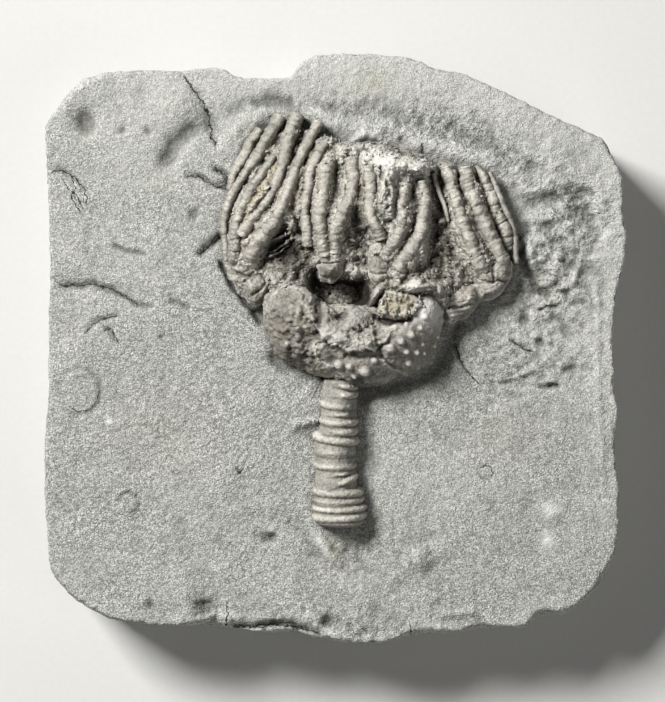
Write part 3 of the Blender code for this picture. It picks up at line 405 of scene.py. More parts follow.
# Plates at the forks: outline, bulges, seams.
FORK_PLATES = {
    "left_ray_plates": (
        ((-16.3, 12.2), (-14.4, 12.6), (-12.3, 12.6), (-10.6, 11.6), (-9.4, 9.8), (-9.6, 7.4),
         (-11.4, 5.8), (-12.9, 7.0), (-14.7, 9.3)),
        ((-14.0, 11.7, 1.9, 0.7, -12.0, 1.0), (-11.9, 9.2, 1.4, 1.2, -20.0, 1.2),
         (-10.3, 8.4, 0.7, 1.3, 0.0, 0.8), (-15.0, 9.9, 1.0, 0.8, -40.0, 0.5),
         (-11.6, 7.0, 1.0, 0.7, -40.0, 0.4)),
        ((0.22, -0.5, ((-15.0, 11.5), (-14.2, 10.7), (-13.1, 10.4), (-11.9, 10.9))),
         (0.2, -0.45, ((-13.2, 9.6), (-12.4, 10.4), (-10.9, 10.6), (-10.1, 9.8), (-10.6, 8.5),
                       (-12.0, 7.7)))),
    ),
    "left_fork_column": (
        ((-15.8, 16.6), (-13.7, 16.6), (-13.4, 13.9), (-13.6, 11.4), (-15.4, 11.4), (-15.9, 13.8)),
        ((-14.6, 15.3, 0.9, 1.1, 0.0, 0.5), (-14.6, 12.9, 0.9, 1.0, 0.0, 0.5)),
        ((0.12, -0.25, ((-15.8, 14.2), (-14.6, 14.0), (-13.4, 14.1))),
         (0.16, -0.35, ((-14.3, 17.0), (-13.2, 15.8)))),
    ),
    "centre_left_plate": (
        ((-3.0, 14.9), (-1.2, 15.4), (0.8, 15.2), (1.2, 12.6), (0.9, 10.6), (-0.5, 9.1), (-2.3, 9.9),
         (-2.9, 12.0)),
        ((-1.8, 13.8, 0.9, 1.5, 0.0, 0.5), (0.1, 13.6, 0.8, 1.5, 0.0, 0.5),
         (-0.7, 11.4, 1.4, 0.9, 0.0, 0.6)),
        ((0.16, -0.3, ((-3.2, 12.5), (-1.0, 12.3), (1.2, 12.5))),
         (0.3, -0.3, ((-0.9, 15.4), (-0.8, 13.0))),
         (0.2, -0.4, ((-2.4, 10.6), (-0.6, 10.0), (1.0, 10.7)))),
    ),
    "centre_right_plate": (
        ((5.0, 16.0), (6.2, 16.6), (7.4, 15.2), (8.2, 12.6), (8.0, 10.2), (6.0, 8.8), (4.7, 10.4),
         (4.6, 13.0)),
        ((6.4, 14.4, 1.0, 1.4, 0.0, 0.6), (6.2, 11.9, 1.3, 0.8, 0.0, 0.6), (6.3, 10.1, 1.2, 0.8, 0.0, 0.5)),
        ((0.2, -0.5, ((5.6, 13.35), (7.4, 13.2))),
         (0.16, -0.35, ((4.7, 11.1), (6.2, 10.7), (7.4, 10.9)))),
    ),
    "right_shoulder_plates": (
        ((19.9, 12.2), (22.4, 12.8), (25.2, 13.2), (25.5, 10.2), (24.0, 7.8), (22.0, 6.6), (20.4, 7.0),
         (19.7, 8.8)),
        ((21.2, 11.0, 1.3, 1.3, 0.0, 0.7), (24.0, 11.6, 1.2, 1.6, 0.0, 0.8),
         (22.2, 8.4, 1.8, 0.8, 15.0, 0.8)),
        ((0.2, -0.5, ((19.8, 9.7), (22.2, 9.6), (25.6, 9.9))),
         (0.2, -0.4, ((22.6, 12.8), (22.7, 9.6)))),
    ),
    "right_ray_plates": (
        ((14.4, 7.2), (15.4, 9.2), (17.8, 9.4), (20.3, 9.2), (20.9, 6.8), (19.1, 4.7), (16.7, 3.4),
         (15.3, 5.0)),
        ((17.0, 7.4, 1.5, 1.6, 0.0, 0.9), (19.4, 7.2, 1.2, 1.3, 0.0, 0.8), (16.9, 4.9, 1.0, 0.8, 0.0, 0.6),
         (19.0, 5.6, 0.9, 0.7, 0.0, 0.6), (15.3, 7.4, 0.6, 1.4, 0.0, 0.4)),
        ((0.16, -0.6, ((15.2, 9.0), (15.5, 7.2), (16.2, 5.6))),
         (0.2, -0.4, ((16.0, 6.0), (17.6, 5.8), (19.8, 6.3)))),
    ),
}

# Greenish plates: x, y, reach across, reach along, turn, strength.
GREENISH = (
    (6.2, 12.2, 1.6, 1.3, 0.0, 1.2),
    (-1.0, 10.8, 1.6, 0.9, 0.0, 0.9),
    (24.1, 11.6, 1.2, 1.9, 0.0, 0.9),
    (-14.6, 13.6, 1.0, 1.6, 0.0, 0.4),
    (18.6, 5.6, 1.2, 0.9, 0.0, 0.8),
)

# Painted shade on the lower parts of the plates at the forks, same kind of table.
FORK_SHADE = (
    (-0.8, 10.6, 2.0, 1.3, 0.0, 0.75),
    (6.6, 9.6, 1.6, 0.8, 0.0, 0.4),
    (17.6, 4.9, 2.0, 1.0, 0.0, 0.4),
    (20.6, 7.6, 1.2, 1.2, 0.0, 0.4),
)

# Where arms are greyer, from rock dust left on them: same kind of table.
ARM_GREY = (
    (-8.0, 29.5, 6.0, 5.5, 0.0, 0.8),
    (15.2, 21.5, 0.9, 4.5, 14.0, 1.0),
    (24.9, 19.0, 0.9, 8.0, 16.0, 1.0),
    (-16.4, 17.0, 0.9, 5.0, 0.0, 0.6),
)

# Arms from tip to root as x, y, width.
ARMS = {
    "left_arm_1": ((-11.0, 31.9, 1.3), (-12.1, 30.0, 1.6), (-13.1, 28.1, 1.7), (-14.2, 26.3, 1.7),
                   (-14.9, 24.6, 1.4), (-15.4, 22.9, 1.2)),
    "left_arm_2": ((-7.9, 33.7, 1.9), (-9.8, 30.8, 1.7), (-11.4, 27.9, 1.6), (-12.9, 25.6, 1.4),
                   (-14.2, 23.6, 1.2), (-15.1, 22.0, 1.2), (-15.9, 20.4, 1.3), (-16.1, 17.8, 1.2),
                   (-16.1, 14.9, 1.2), (-15.6, 12.2, 1.0)),
    "left_arm_3": ((-8.9, 27.9, 0.8), (-10.4, 25.7, 1.4), (-12.0, 23.3, 1.7), (-13.4, 20.9, 1.8),
                   (-14.3, 18.6, 1.8), (-14.7, 15.9, 1.9)),
    "left_arm_4": ((-5.6, 34.0, 2.2), (-6.7, 30.8, 2.0), (-7.3, 28.6, 1.8), (-7.8, 26.5, 1.7),
                   (-8.5, 24.0, 1.6), (-9.6, 21.8, 1.5), (-11.0, 20.0, 1.6), (-12.5, 18.2, 1.7),
                   (-13.8, 16.4, 1.8)),
    "left_arm_5": ((-2.6, 32.9, 1.8), (-3.9, 30.0, 1.6), (-4.9, 27.9, 1.4), (-5.8, 26.0, 1.4),
                   (-6.5, 24.0, 1.4), (-7.2, 22.0, 1.5), (-7.9, 20.4, 1.7), (-8.9, 18.5, 1.9),
                   (-10.5, 16.5, 2.2), (-11.8, 14.6, 2.4), (-12.7, 12.8, 2.4)),
    "centre_arm_1": ((-1.6, 29.8, 1.7), (-3.2, 27.1, 1.6), (-4.0, 23.5, 1.6), (-4.6, 20.5, 1.5),
                     (-4.3, 18.0, 1.5), (-4.0, 14.8, 1.6)),
    "centre_arm_2": ((-1.6, 26.5, 2.2), (-1.9, 22.7, 2.1), (-2.3, 19.4, 2.1), (-2.0, 16.7, 2.1),
                     (-1.6, 13.4, 2.2)),
    "centre_arm_3": ((2.0, 27.6, 2.1), (2.3, 24.3, 1.9), (2.0, 21.6, 1.9), (0.9, 19.2, 2.0),
                     (0.0, 16.7, 2.1), (-0.1, 13.8, 2.0)),
    "centre_arm_4": ((4.6, 26.3, 1.8), (4.9, 23.0, 1.9), (4.9, 20.2, 1.9), (5.0, 18.9, 1.8),
                     (5.8, 17.5, 1.8), (6.5, 15.6, 1.8)),
    "centre_arm_5": ((10.2, 23.8, 1.9), (9.6, 21.0, 2.0), (9.3, 18.3, 2.0), (8.5, 15.9, 2.0),
                     (7.4, 13.6, 1.9)),
    "centre_arm_6": ((12.2, 24.2, 1.6), (12.8, 21.3, 1.9), (12.5, 18.3, 2.0), (11.5, 15.6, 2.2),
                     (10.0, 13.3, 2.5), (8.8, 11.4, 2.5)),
    "right_arm_1": ((14.0, 25.3, 0.7), (14.8, 22.8, 0.8), (15.7, 20.7, 0.7), (16.3, 18.3, 0.5)),
    "right_arm_2": ((16.0, 26.3, 2.0), (16.8, 22.8, 1.9), (17.8, 19.5, 2.0), (19.3, 15.6, 2.1),
                    (20.7, 12.5, 2.2), (21.5, 10.7, 2.2)),
    "right_arm_3": ((18.7, 26.3, 2.2), (19.3, 23.1, 2.2), (20.9, 19.5, 2.2), (22.0, 16.8, 2.2),
                    (23.5, 13.9, 2.2), (24.2, 11.9, 2.1)),
    "right_arm_4": ((20.3, 26.5, 1.0), (21.8, 23.6, 1.6), (23.1, 19.9, 1.9), (24.2, 17.2, 1.9),
                    (25.0, 14.4, 1.7)),
    "right_arm_5": ((22.1, 25.5, 0.9), (23.5, 22.4, 1.0), (24.8, 19.3, 1.1), (25.7, 16.0, 1.1),
                    (25.9, 12.3, 1.1)),
}

# Ribs of the stem, from the cup down: left end, right end, width, share of the full height.
STEM_RINGS = (
    ((-0.7, -4.6), (3.3, -5.6), 0.7, 1.0),
    ((-0.8, -6.1), (3.3, -6.6), 0.8, 1.0),
    ((-2.3, -7.8), (3.0, -8.2), 0.9, 1.0),
    ((-1.6, -9.0), (2.8, -9.3), 0.7, 0.99),
    ((-2.5, -10.3), (3.3, -10.5), 0.9, 1.0),
    ((-2.2, -11.5), (3.3, -11.9), 0.9, 1.0),
    ((-3.4, -12.5), (3.4, -13.4), 1.0, 1.02),
    ((-3.3, -14.6), (3.1, -14.8), 1.1, 0.95),
    ((-3.3, -16.7), (3.0, -16.8), 0.9, 1.0),
    ((-1.6, -17.9), (2.6, -17.6), 0.6, 0.98),
    ((-1.4, -19.7), (3.2, -18.2), 0.8, 1.0),
    ((-3.4, -20.5), (4.0, -20.7), 0.95, 1.02),
    ((-3.4, -21.9), (4.3, -21.7), 0.9, 0.96),
    ((-3.5, -23.0), (4.5, -22.9), 0.85, 1.0),
    ((-3.5, -24.4), (4.5, -24.0), 1.0, 1.0),
)
# The stem's core from the cup down, as x, y, width.
STEM_ROUTE = (
    (0.6, -4.6, 5.4), (0.5, -8.1, 5.6), (0.3, -11.0, 5.8), (-0.1, -13.0, 6.6), (-0.1, -16.8, 6.4),
    (0.0, -19.7, 6.8), (0.4, -22.6, 7.7), (0.6, -25.2, 7.9),
)
STEM_TOP = 4.6
STEM_MIDDLE = 0.4  # height of its middle over the slab's face

# ---------------------------------------------------------------- shared tools

NOISE_CELLS = 256  # grains after which noise repeats
NOISE_ORIGIN = 1000.0  # keeps every place on the noise's positive side
CREASE_WIDTH = 0.2  # in heights of the noise that a crease follows
LEDGE_WIDTH = 0.18
COBBLE_CELLS = 128  # cobbles after which they repeat
COBBLE_RADIUS = 0.75  # in sizes of a cobble's cell
# How lines and ledges wander: height, grain and two seeds, one for each axis.
LINE_WANDER = (0.18, 0.9, 71, 72)
LEDGE_WANDER = (0.25, 0.8, 73, 74)


def linear(hex_colour):
    """An sRGB hex colour as linear red, green, blue and alpha."""
    parts = [int(hex_colour[i:i + 2], 16) / 255 for i in (1, 3, 5)]
    return tuple(c / 12.92 if c <= 0.04045 else ((c + 0.055) / 1.055) ** 2.4 for c in parts) + (1.0,)


def node(tree, kind, inputs=None, **settings):
    """Add a node with its settings, and its inputs as values, sockets or nodes (first output)."""
    made = tree.nodes.new(kind)
    for name, value in settings.items():
        setattr(made, name, value)
    for key, value in (inputs or {}).items():
        if isinstance(value, bpy.types.Node):
            value = value.outputs[0]
        if isinstance(value, bpy.types.NodeSocket):
            tree.links.new(value, made.inputs[key])
        else:
            made.inputs[key].default_value = value
    return made


def evenly_spaced(outline, count):
    """Points at equal steps along a closed outline, as an array."""
    corners = np.array(outline + outline[:1])
    ends = np.concatenate(([0.0], np.cumsum(np.hypot(*np.diff(corners, axis=0).T))))
    steps = np.arange(count) / count * ends[-1]
    return np.stack([np.interp(steps, ends, corners[:, k]) for k in (0, 1)], axis=1)


def skin_outline(outline, count, window):
    """An outline as points at equal steps, its corners rounded, turned so that its skin faces outwards."""
    even = softened(evenly_spaced(outline, count), window)
    x, y = even.T
    area = np.sum(x * np.roll(y, -1) - np.roll(x, -1) * y)
    return even if area > 0 else even[::-1]


def softened(outline, window):
    """A closed outline with its corners rounded over a window of points."""
    kernel = np.hanning(2 * window + 3)[1:-1]
    kernel /= kernel.sum()
    padded = np.concatenate((outline[-window:], outline, outline[:window]))
    return np.stack([np.convolve(padded[:, k], kernel, "valid") for k in (0, 1)], axis=1)


def eased(share):
    """A share from 0 to 1 that starts and ends gently."""
    return share * share * (3.0 - 2.0 * share)


def rough(x, y, grain, seed):
    """Smooth noise between -1 and 1 with bumps about one grain across."""
    table = np.random.default_rng(seed).uniform(-1.0, 1.0, (NOISE_CELLS, NOISE_CELLS))
    gx = x / grain + NOISE_ORIGIN
    gy = y / grain + NOISE_ORIGIN
    ix = np.floor(gx).astype(int)
    iy = np.floor(gy).astype(int)
    fx = eased(gx - ix)
    fy = eased(gy - iy)
    corner = [[table[(ix + i) % NOISE_CELLS, (iy + j) % NOISE_CELLS] for j in (0, 1)] for i in (0, 1)]
    low = corner[0][0] + (corner[1][0] - corner[0][0]) * fx
    high = corner[0][1] + (corner[1][1] - corner[0][1]) * fx
    return low + (high - low) * fy


def roughened(x, y, *layers):
    """Height summed over layers of noise, each a height, a grain and a seed."""
    return sum(height * rough(x, y, grain, seed) for height, grain, seed in layers)


def swells(table, x, y):
    """Height summed over turned oval swells."""
    height = np.zeros_like(x)
    for centre_x, centre_y, across, along, turn, rise in table:
        cosine = math.cos(math.radians(turn))
        sine = math.sin(math.radians(turn))
        u = ((x - centre_x) * cosine + (y - centre_y) * sine) / across
        v = ((y - centre_y) * cosine - (x - centre_x) * sine) / along
        height += rise * np.exp(-u * u - v * v)
    return height


def patches(table, x, y):
    """How strongly each point is in turned oval patches, 0 to 1."""
    return np.clip(swells(table, x, y), 0.0, 1.0)


def from_route(route, x, y):
    """Distance in plan from a line through the route's points, and signed distance to its left."""
    nearest = np.full_like(x, 1e9)
    across = np.zeros_like(x)
    for (ax, ay), (bx, by) in zip(route, route[1:]):
        dx = bx - ax
        dy = by - ay
        t = np.clip(((x - ax) * dx + (y - ay) * dy) / (dx * dx + dy * dy), 0.0, 1.0)
        away = np.hypot(x - ax - t * dx, y - ay - t * dy)
        closer = away < nearest
        nearest = np.where(closer, away, nearest)
        across = np.where(closer, (dx * (y - ay) - dy * (x - ax)) / math.hypot(dx, dy), across)
    return nearest, across


def wandering(x, y, height, grain, seed_x, seed_y):
    """The places shifted a little by noise, so that what is drawn on them is ragged."""
    return x + height * rough(x, y, grain, seed_x), y + height * rough(x, y, grain, seed_y)


def lines(table, x, y):
    """Height summed over raised or cut lines, each a little ragged."""
    height = np.zeros_like(x)
    ragged = wandering(x, y, *LINE_WANDER)
    for half_width, rise, route in table:
        height += rise * np.exp(-(from_route(route, *ragged)[0] / half_width) ** 2)
    return height


def ledges(table, x, y):
    """Height summed over ledges: raised to the left of each route, sloping away over a reach."""
    height = np.zeros_like(x)
    ragged = wandering(x, y, *LEDGE_WANDER)
    for rise, reach, route in table:
        away, side = from_route(route, *ragged)
        height += rise * np.clip(side / LEDGE_WIDTH + 0.5, 0.0, 1.0) * np.exp(-(away / reach) ** 2)
    return height


def crack_marks(table, x, y):
    """Signed distance in half widths across the nearest crack, and 1 beside that crack, else 0.

    The sign lets a finish find a crack much finer than the mesh between its points.
    """
    nearest = np.full_like(x, 1e9)
    across = np.full_like(x, 9.0)
    beside = np.zeros_like(x)
    for half_width, route in table:
        away, side = from_route(route, x, y)
        closer = away < nearest
        nearest = np.where(closer, away, nearest)
        across = np.where(closer, side / half_width, across)
        ahead = np.clip((away - np.abs(side)) / 0.2, 0.0, 1.0)
        beside = np.where(closer, np.clip((1.4 - away) / 0.4, 0.0, 1.0) * (1.0 - ahead), beside)
    return across, beside


def creases(x, y, *nets):
    """Depth summed over nets of thin wandering lines, each a depth, a mesh size and a seed."""
    return sum(depth * np.exp(-(rough(x, y, size, seed) / CREASE_WIDTH) ** 2) for depth, size, seed in nets)


def spots(table, x, y):
    """Height summed over small round pits and bumps."""
    height = np.zeros_like(x)
    for centre_x, centre_y, radius, rise in table:
        height += rise * np.exp(-((x - centre_x) ** 2 + (y - centre_y) ** 2) / radius**2)
    return height


def relief(heights, reach=3, step=0.3):
    """How far each point of a ring grid lies under and over its surroundings, both 0 to 1 at a step."""
    blurred = heights.copy()
    window = 2 * reach + 1
    for _ in range(3):
        around = sum(np.roll(blurred, s, axis=1) for s in range(-reach, reach + 1)) / window
        padded = np.pad(around, ((reach, reach), (0, 0)), mode="edge")
        blurred = sum(padded[k:k + len(heights)] for k in range(window)) / window
    over = (heights - blurred) / step
    return np.clip(-over, 0.0, 1.0), np.clip(over, 0.0, 1.0)


def placed(name, data):
    """A new object in the scene, from its data."""
    made = bpy.data.objects.new(name, data)
    bpy.context.scene.collection.objects.link(made)
    return made


def keep_marks(mesh, **marks):
    """Keep values, or rows of x, y and z, on a mesh's points."""
    for key, values in marks.items():
        if values.ndim == 1:
            mesh.attributes.new(key, "FLOAT", "POINT").data.foreach_set("value", values)
        else:
            mesh.attributes.new(key, "FLOAT_VECTOR", "POINT").data.foreach_set("vector", values.ravel())


def loose_points(name, points, edges=(), **marks):
    """Points in millimetres with marks on them, and a line through them if any, for a geometry tree."""
    mesh = bpy.data.meshes.new(name)
    mesh.from_pydata((points * MM).tolist(), edges, [])
    keep_marks(mesh, **marks)
    return placed(name, mesh)


def closed_skin(name, rings, low_tip, high_tip, **marks):
    """A closed mesh through rings of points, low ring first, each end drawn to a tip."""
    rows, columns, _ = rings.shape
    points = np.concatenate((rings.reshape(-1, 3), [low_tip], [high_tip])) * MM
    index = np.arange(rows * columns).reshape(rows, columns)
    after = np.roll(index, -1, axis=1)
    quads = np.stack((index[:-1], after[:-1], after[1:], index[1:]), axis=-1).reshape(-1, 4)
    low = [(int(b), int(a), rows * columns) for a, b in zip(index[0], after[0])]
    high = [(int(a), int(b), rows * columns + 1) for a, b in zip(index[-1], after[-1])]
    mesh = bpy.data.meshes.new(name)
    mesh.from_pydata(points.tolist(), [], quads.tolist() + low + high)
    keep_marks(mesh, **{key: np.append(values.ravel(), (0.0, 0.0)) for key, values in marks.items()})
    mesh.shade_smooth()
    return placed(name, mesh)


def grown(piece, tree, **sizes):
    """Run a geometry tree on a piece and keep its result as a plain mesh."""
    modifier = piece.modifiers.new(tree.name, "NODES")
    modifier.node_group = tree
    for item in tree.interface.items_tree:
        if item.item_type == "SOCKET" and item.in_out == "INPUT" and item.name in sizes:
            modifier[item.identifier] = sizes[item.name]
    shape = piece.evaluated_get(bpy.context.evaluated_depsgraph_get())
    mesh = bpy.data.meshes.new_from_object(shape)
    mesh.name = piece.name
    piece.modifiers.remove(modifier)
    piece.data = mesh
    return piece


def gritted(piece, grain, depth, finish):
    """Stir a piece's surface by grit of one grain and depth in millimetres."""
    return grown(piece, GRIT, **{"Grain": grain * MM, "Depth": depth * MM, "Finish": finish})


def finished(piece, cad_node):
    """Tell the frame what a piece stands for."""
    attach(piece, "root")
    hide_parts(cad_node)
    return piece


# ---------------------------------------------------------------- the slab

# Where the rock broke rough instead of smooth: x, y, reach across, reach along, turn, strength.
ROUGH_PATCHES = (
    (11.0, 32.2, 8.0, 3.8, -8.0, 0.7),
    (22.6, 28.4, 11.0, 4.8, -25.0, 0.8),
    (35.0, 20.0, 6.0, 6.0, 0.0, 0.8),
    (31.0, 10.0, 6.0, 7.0, 10.0, 1.0),
    (27.0, -2.0, 9.0, 6.0, 0.0, 0.6),
    (-11.0, 32.0, 7.0, 4.0, 30.0, 0.3),
    (0.0, 34.0, 7.0, 3.0, 0.0, 0.5),
    (2.0, -30.0, 5.0, 3.0, 0.0, 0.5),
    (0.0, -41.0, 16.0, 3.0, 0.0, 0.7),
    (12.0, -30.0, 3.0, 3.0, 0.0, 0.5),
    (-18.5, -38.5, 4.0, 2.5, 0.0, 0.7),
)
# Yellowish stains and white shelly specks, as the same kind of table.
STAINS = (
    (-36.5, 32.2, 1.2, 1.6, 30.0, 0.5),
    (-25.8, 23.3, 1.0, 0.8, 0.0, 0.5),
    (5.4, 38.6, 2.6, 1.6, 0.0, 0.6),
    (-0.4, -28.9, 1.6, 1.8, 20.0, 0.7),
    (-13.0, 32.0, 2.0, 1.4, 40.0, 0.35),
    (24.0, -13.0, 5.0, 3.0, 0.0, 0.25),
    (30.5, 9.5, 2.0, 2.6, 0.0, 0.5),
    (-24.0, -12.0, 9.0, 6.0, 0.0, 0.15),
)
BLEACHED = (
    (-4.0, 41.0, 30.0, 9.0, 0.0, 1.0),
    (-28.0, 30.0, 10.0, 8.0, 0.0, 0.5),
    (36.0, 24.0, 8.0, 8.0, 0.0, 0.7),
    (22.0, 30.0, 14.0, 7.0, -25.0, 1.4),
    (31.0, 8.0, 7.0, 12.0, 0.0, 1.2),
    (38.5, 0.0, 3.0, 20.0, 0.0, 0.6),
    (-30.0, 14.0, 8.0, 8.0, 0.0, 0.3),
    (14.0, -20.0, 8.0, 6.0, 0.0, 0.4),
)
PALE_SPECKS = (
    (31.3, -23.4, 1.2, 0.9, 20.0, 1.0),
    (30.6, -27.6, 0.9, 1.3, 0.0, 0.9),
    (39.0, 16.5, 0.8, 1.2, 0.0, 0.8),
    (-32.6, -10.8, 0.9, 0.45, -20.0, 0.8),
    (28.4, 14.4, 1.5, 1.9, 0.0, 0.5),
    (-2.0, -28.4, 0.5, 1.2, 30.0, 0.9),
    (-9.3, -26.4, 0.9, 0.4, 0.0, 0.8),
    (14.9, -40.4, 0.5, 0.4, 0.0, 0.7),
    (34.6, 10.8, 0.4, 1.3, 10.0, 0.6),
    (25.6, -22.6, 0.6, 0.5, 0.0, 0.4),
    (14.9, -8.0, 0.4, 0.3, 0.0, 0.6),
    (11.8, 33.0, 1.5, 0.7, 0.0, 0.3),
    (4.6, 30.7, 2.6, 0.8, 0.0, 0.45),
)
# The face rises in a bank to meet the crown's filling above it.
SLAB_BANK = (
    (0.9, 0.5, ((-15.6, 25.4), (-13.6, 29.6), (-11.6, 32.2))),
    (0.9, 0.4, ((-3.4, 34.4), (-1.6, 33.8), (0.0, 32.6))),
    (1.7, 0.9, ((-2.0, 33.2), (1.3, 32.0), (7.1, 32.0), (12.9, 29.8), (18.7, 28.4), (22.5, 26.8))),
)
# The face is cut away under the crown's deep cavity.
CROWN_CAVITY = ((1.2, 8.2, 4.4, 2.8, 0.0, -5.0),)
SLAB_SPOKES = 900
SLAB_SPOKE_STEP = 0.29  # mean way along the outline between two spokes
SLAB_FACE_RINGS = 86
SLAB_INNERMOST = 0.18  # share of the way out at which the fine rings begin, under the crown
# The side's rings, close enough to show thin beds, and how far the side is drawn in at a height.
SIDE_HEIGHTS = (0.0, 0.25, 0.9, 1.8, 2.7, 3.6, 4.6, 5.6, 6.6, 7.6, 8.5, 9.6, 10.7, 11.7, 12.6)
SIDE_DRAWN_IN = ((0.0, 1.2), (2.5, 0.4), (SLAB_WIDEST, 0.0))
UNDERSIDE_INSET = 0.15
RING_CLEARANCE = 0.25  # least drop from one of the side's rings to the next
# Ovals that the crown, cup and stem stand in: x, y, reach across, reach along.
STANDING_PLACES = ((4.5, 14.0, 23.0, 20.5), (2.5, 0.5, 14.5, 8.0), (0.2, -15.0, 5.0, 12.5))
FLAKES_FROM = 30.0  # the rough face is less flaky towards the top edge from here, over the next length
FLAKES_FADE = 8.0


def in_crown(x, y):
    """1 under the crown, cup and stem, where the slab's face is level, falling to 0 around them."""
    nearest = np.full_like(x, 99.0)
    for centre_x, centre_y, across, along in STANDING_PLACES:
        nearest = np.minimum(nearest, np.hypot((x - centre_x) / across, (y - centre_y) / along))
    return np.clip((1.35 - nearest) / 0.3, 0.0, 1.0)


def rings_marked(table, x, y):
    """Height summed over ring-shaped prints, stronger on one side."""
    height = np.zeros_like(x)
    for centre_x, centre_y, across, along, half_width, rise in table:
        dx = (x - centre_x) / across
        dy = (y - centre_y) / along
        off = (np.hypot(dx, dy) - 1.0) * 0.5 * (across + along)
        side = 0.65 + 0.35 * np.sin(np.arctan2(dy, dx) + centre_x)
        height += rise * side * np.exp(-(off / half_width) ** 2)
    return height


def slab_face(x, y):
    """Height of the slab's face with all of its marks, its grain, and flakes where it broke rough."""
    away = 1.0 - in_crown(x, y)
    coarse = patches(ROUGH_PATCHES, x, y)
    flaky = coarse * np.clip((FLAKES_FROM - y) / FLAKES_FADE, 0.35, 1.0)
    flakes = 1.0 - 2.0 * np.abs(rough(x + 0.5 * y, y - 0.2 * x, 2.0, 5))
    height = away * (swells(SLAB_SWELLS, x, y) + 0.3 * rough(x, y, 9.0, 1))
    height += lines(SLAB_LINES, x, y) + rings_marked(SHELL_PRINTS, x, y) + spots(SLAB_SPOTS, x, y)
    height += swells(CROWN_CAVITY, x, y) + lines(SLAB_BANK, x, y)
    height += (0.14 + 0.3 * coarse) * rough(x, y, 3.2, 2) * (0.3 + 0.7 * away)
    height += (0.07 + 0.3 * flaky) * rough(x + 0.3 * y, y, 1.0, 3)
    height += (0.05 + 0.16 * coarse) * rough(x, y, 0.55, 4)
    height += flaky * (0.3 * flakes * rough(x, y, 4.0, 6) - creases(x, y, (0.28, 2.4, 7), (0.2, 1.1, 8)))
    height -= 0.5 * coarse * np.clip(rough(x, y, 0.75, 9) - 0.5, 0.0, 1.0)
    return SLAB_FACE + height


def edge_break(x, y):
    """Inset and drop of the slab's top edge."""
    inset = np.full_like(x, EDGE_INSET)
    drop = np.full_like(x, EDGE_DROP)
    for centre_x, centre_y, reach, more_inset, more_drop in EDGE_BREAKS:
        share = np.exp(-(((x - centre_x) ** 2 + (y - centre_y) ** 2) / reach**2))
        inset += share * more_inset
        drop += share * more_drop
    ragged = 1.0 + 0.3 * rough(x, y, 2.2, 11) + 0.15 * rough(x, y, 0.8, 12)
    return inset * ragged, drop * (1.0 + 0.3 * rough(x, y, 1.6, 13))


def make_slab(finish):
    """The slab: a rough level face, broken sides in thin beds, a flat underside."""
    outline = skin_outline(SLAB_OUTLINE, SLAB_SPOKES, 3)
    outline = outline - (outline.max(axis=0) + outline.min(axis=0)) / 2
    reach = np.hypot(*outline.T)
    along = np.arange(SLAB_SPOKES) * SLAB_SPOKE_STEP
    level = np.zeros_like(along)
    inset, drop = edge_break(*outline.T)

    def inwards(distance):
        return outline * (1.0 - distance / reach)[:, None]

    rings = []
    for k, height in enumerate(SIDE_HEIGHTS):
        general = np.interp(height, *zip(*SIDE_DRAWN_IN))
        bed = 0.35 * np.abs(rough(along, level + 9.0 * height, 2.0, 21))
        chip = 0.5 * np.abs(rough(along, level + height, 3.2, 22))
        grit = 0.12 * np.abs(rough(along, level + 3.0 * height, 0.7, 23))
        near_top = 0.12 * inset * np.clip((height - SLAB_WIDEST) / 4.0, 0.0, 1.0)
        lowest = UNDERSIDE_INSET * (k == 0)
        place = inwards(general + bed + chip + grit + near_top + lowest)
        ceiling = SLAB_FACE - drop - RING_CLEARANCE * (len(SIDE_HEIGHTS) - k)
        rings.append(np.column_stack((place, np.minimum(height, np.maximum(0.0, ceiling)))))
    for share in (0.0, 0.35, 0.7):
        place = inwards(inset * (0.12 + 0.88 * share) + 0.15 * np.abs(rough(along, level, 0.9, 24)))
        face = slab_face(*place.T)
        rings.append(np.column_stack((place, face - drop * (1.0 - share) ** 1.6)))
    flat = inwards(inset)
    shares = SLAB_INNERMOST + (1.0 - SLAB_INNERMOST) * np.linspace(1.0, 0.0, SLAB_FACE_RINGS)
    for share in (*shares, 0.5 * SLAB_INNERMOST):
        place = flat * share
        rings.append(np.column_stack((place, slab_face(*place.T))))
    rings = np.array(rings)
    x, y, z = np.moveaxis(rings, 2, 0)
    on_face = z > SLAB_FACE - 2.0
    # hollow darkens pits with painted shade, partly dirt; raised lightens crests of the rough patches with
    # painted highlights, partly rubbed wear.
    crevice, crest = relief(z)
    coarse = patches(ROUGH_PATCHES, x, y)
    across, beside = crack_marks(SLAB_CRACKS, x, y)
    piece = closed_skin(
        "siltstone_slab", rings, (0.0, 0.0, 0.0), (0.0, 0.0, SLAB_FACE),
        hollow=crevice * (z > SLAB_FACE - 3.0), raised=crest * coarse * on_face, coarse=coarse,
        stain=patches(STAINS, x, y), pale=patches(PALE_SPECKS, x, y), light=patches(BLEACHED, x, y),
        crack_across=across, crack_beside=beside * on_face)
    gritted(piece, 0.42, 0.11, finish)
    return finished(piece, "matrix_slab")


# ---------------------------------------------------------------- the crushed roof plates and the cup

TEGMEN_SPOKES = 640
TEGMEN_FACE_RINGS = 92
CUP_SPOKES = 420
CUP_SPOKE_STEP = 0.17  # mean way along the outline between two spokes
CUP_FACE_RINGS = 92
SUNK = 0.3  # how far the fossil's pieces are let into the rock
# Rings of a piece below its face: share of the way out, height over the slab's face.
TEGMEN_SKIRT = ((0.9, -1.2), (1.0, -0.9), (1.01, -0.5))
# The same for the cup, with heights as a share of its rim's.
CUP_SIDE = ((0.84, 0.0), (0.86, 0.1), (0.93, 0.3), (0.97, 0.5), (0.992, 0.7), (1.003, 0.87))
# The filling slopes gently to the slab up and right of a corner, and steeply elsewhere: widths of the
# slopes as a share of the way out.
GENTLE_CORNER = (-4.0, 24.0)
GENTLE_SLOPE = 0.17
STEEP_SLOPE = 0.07
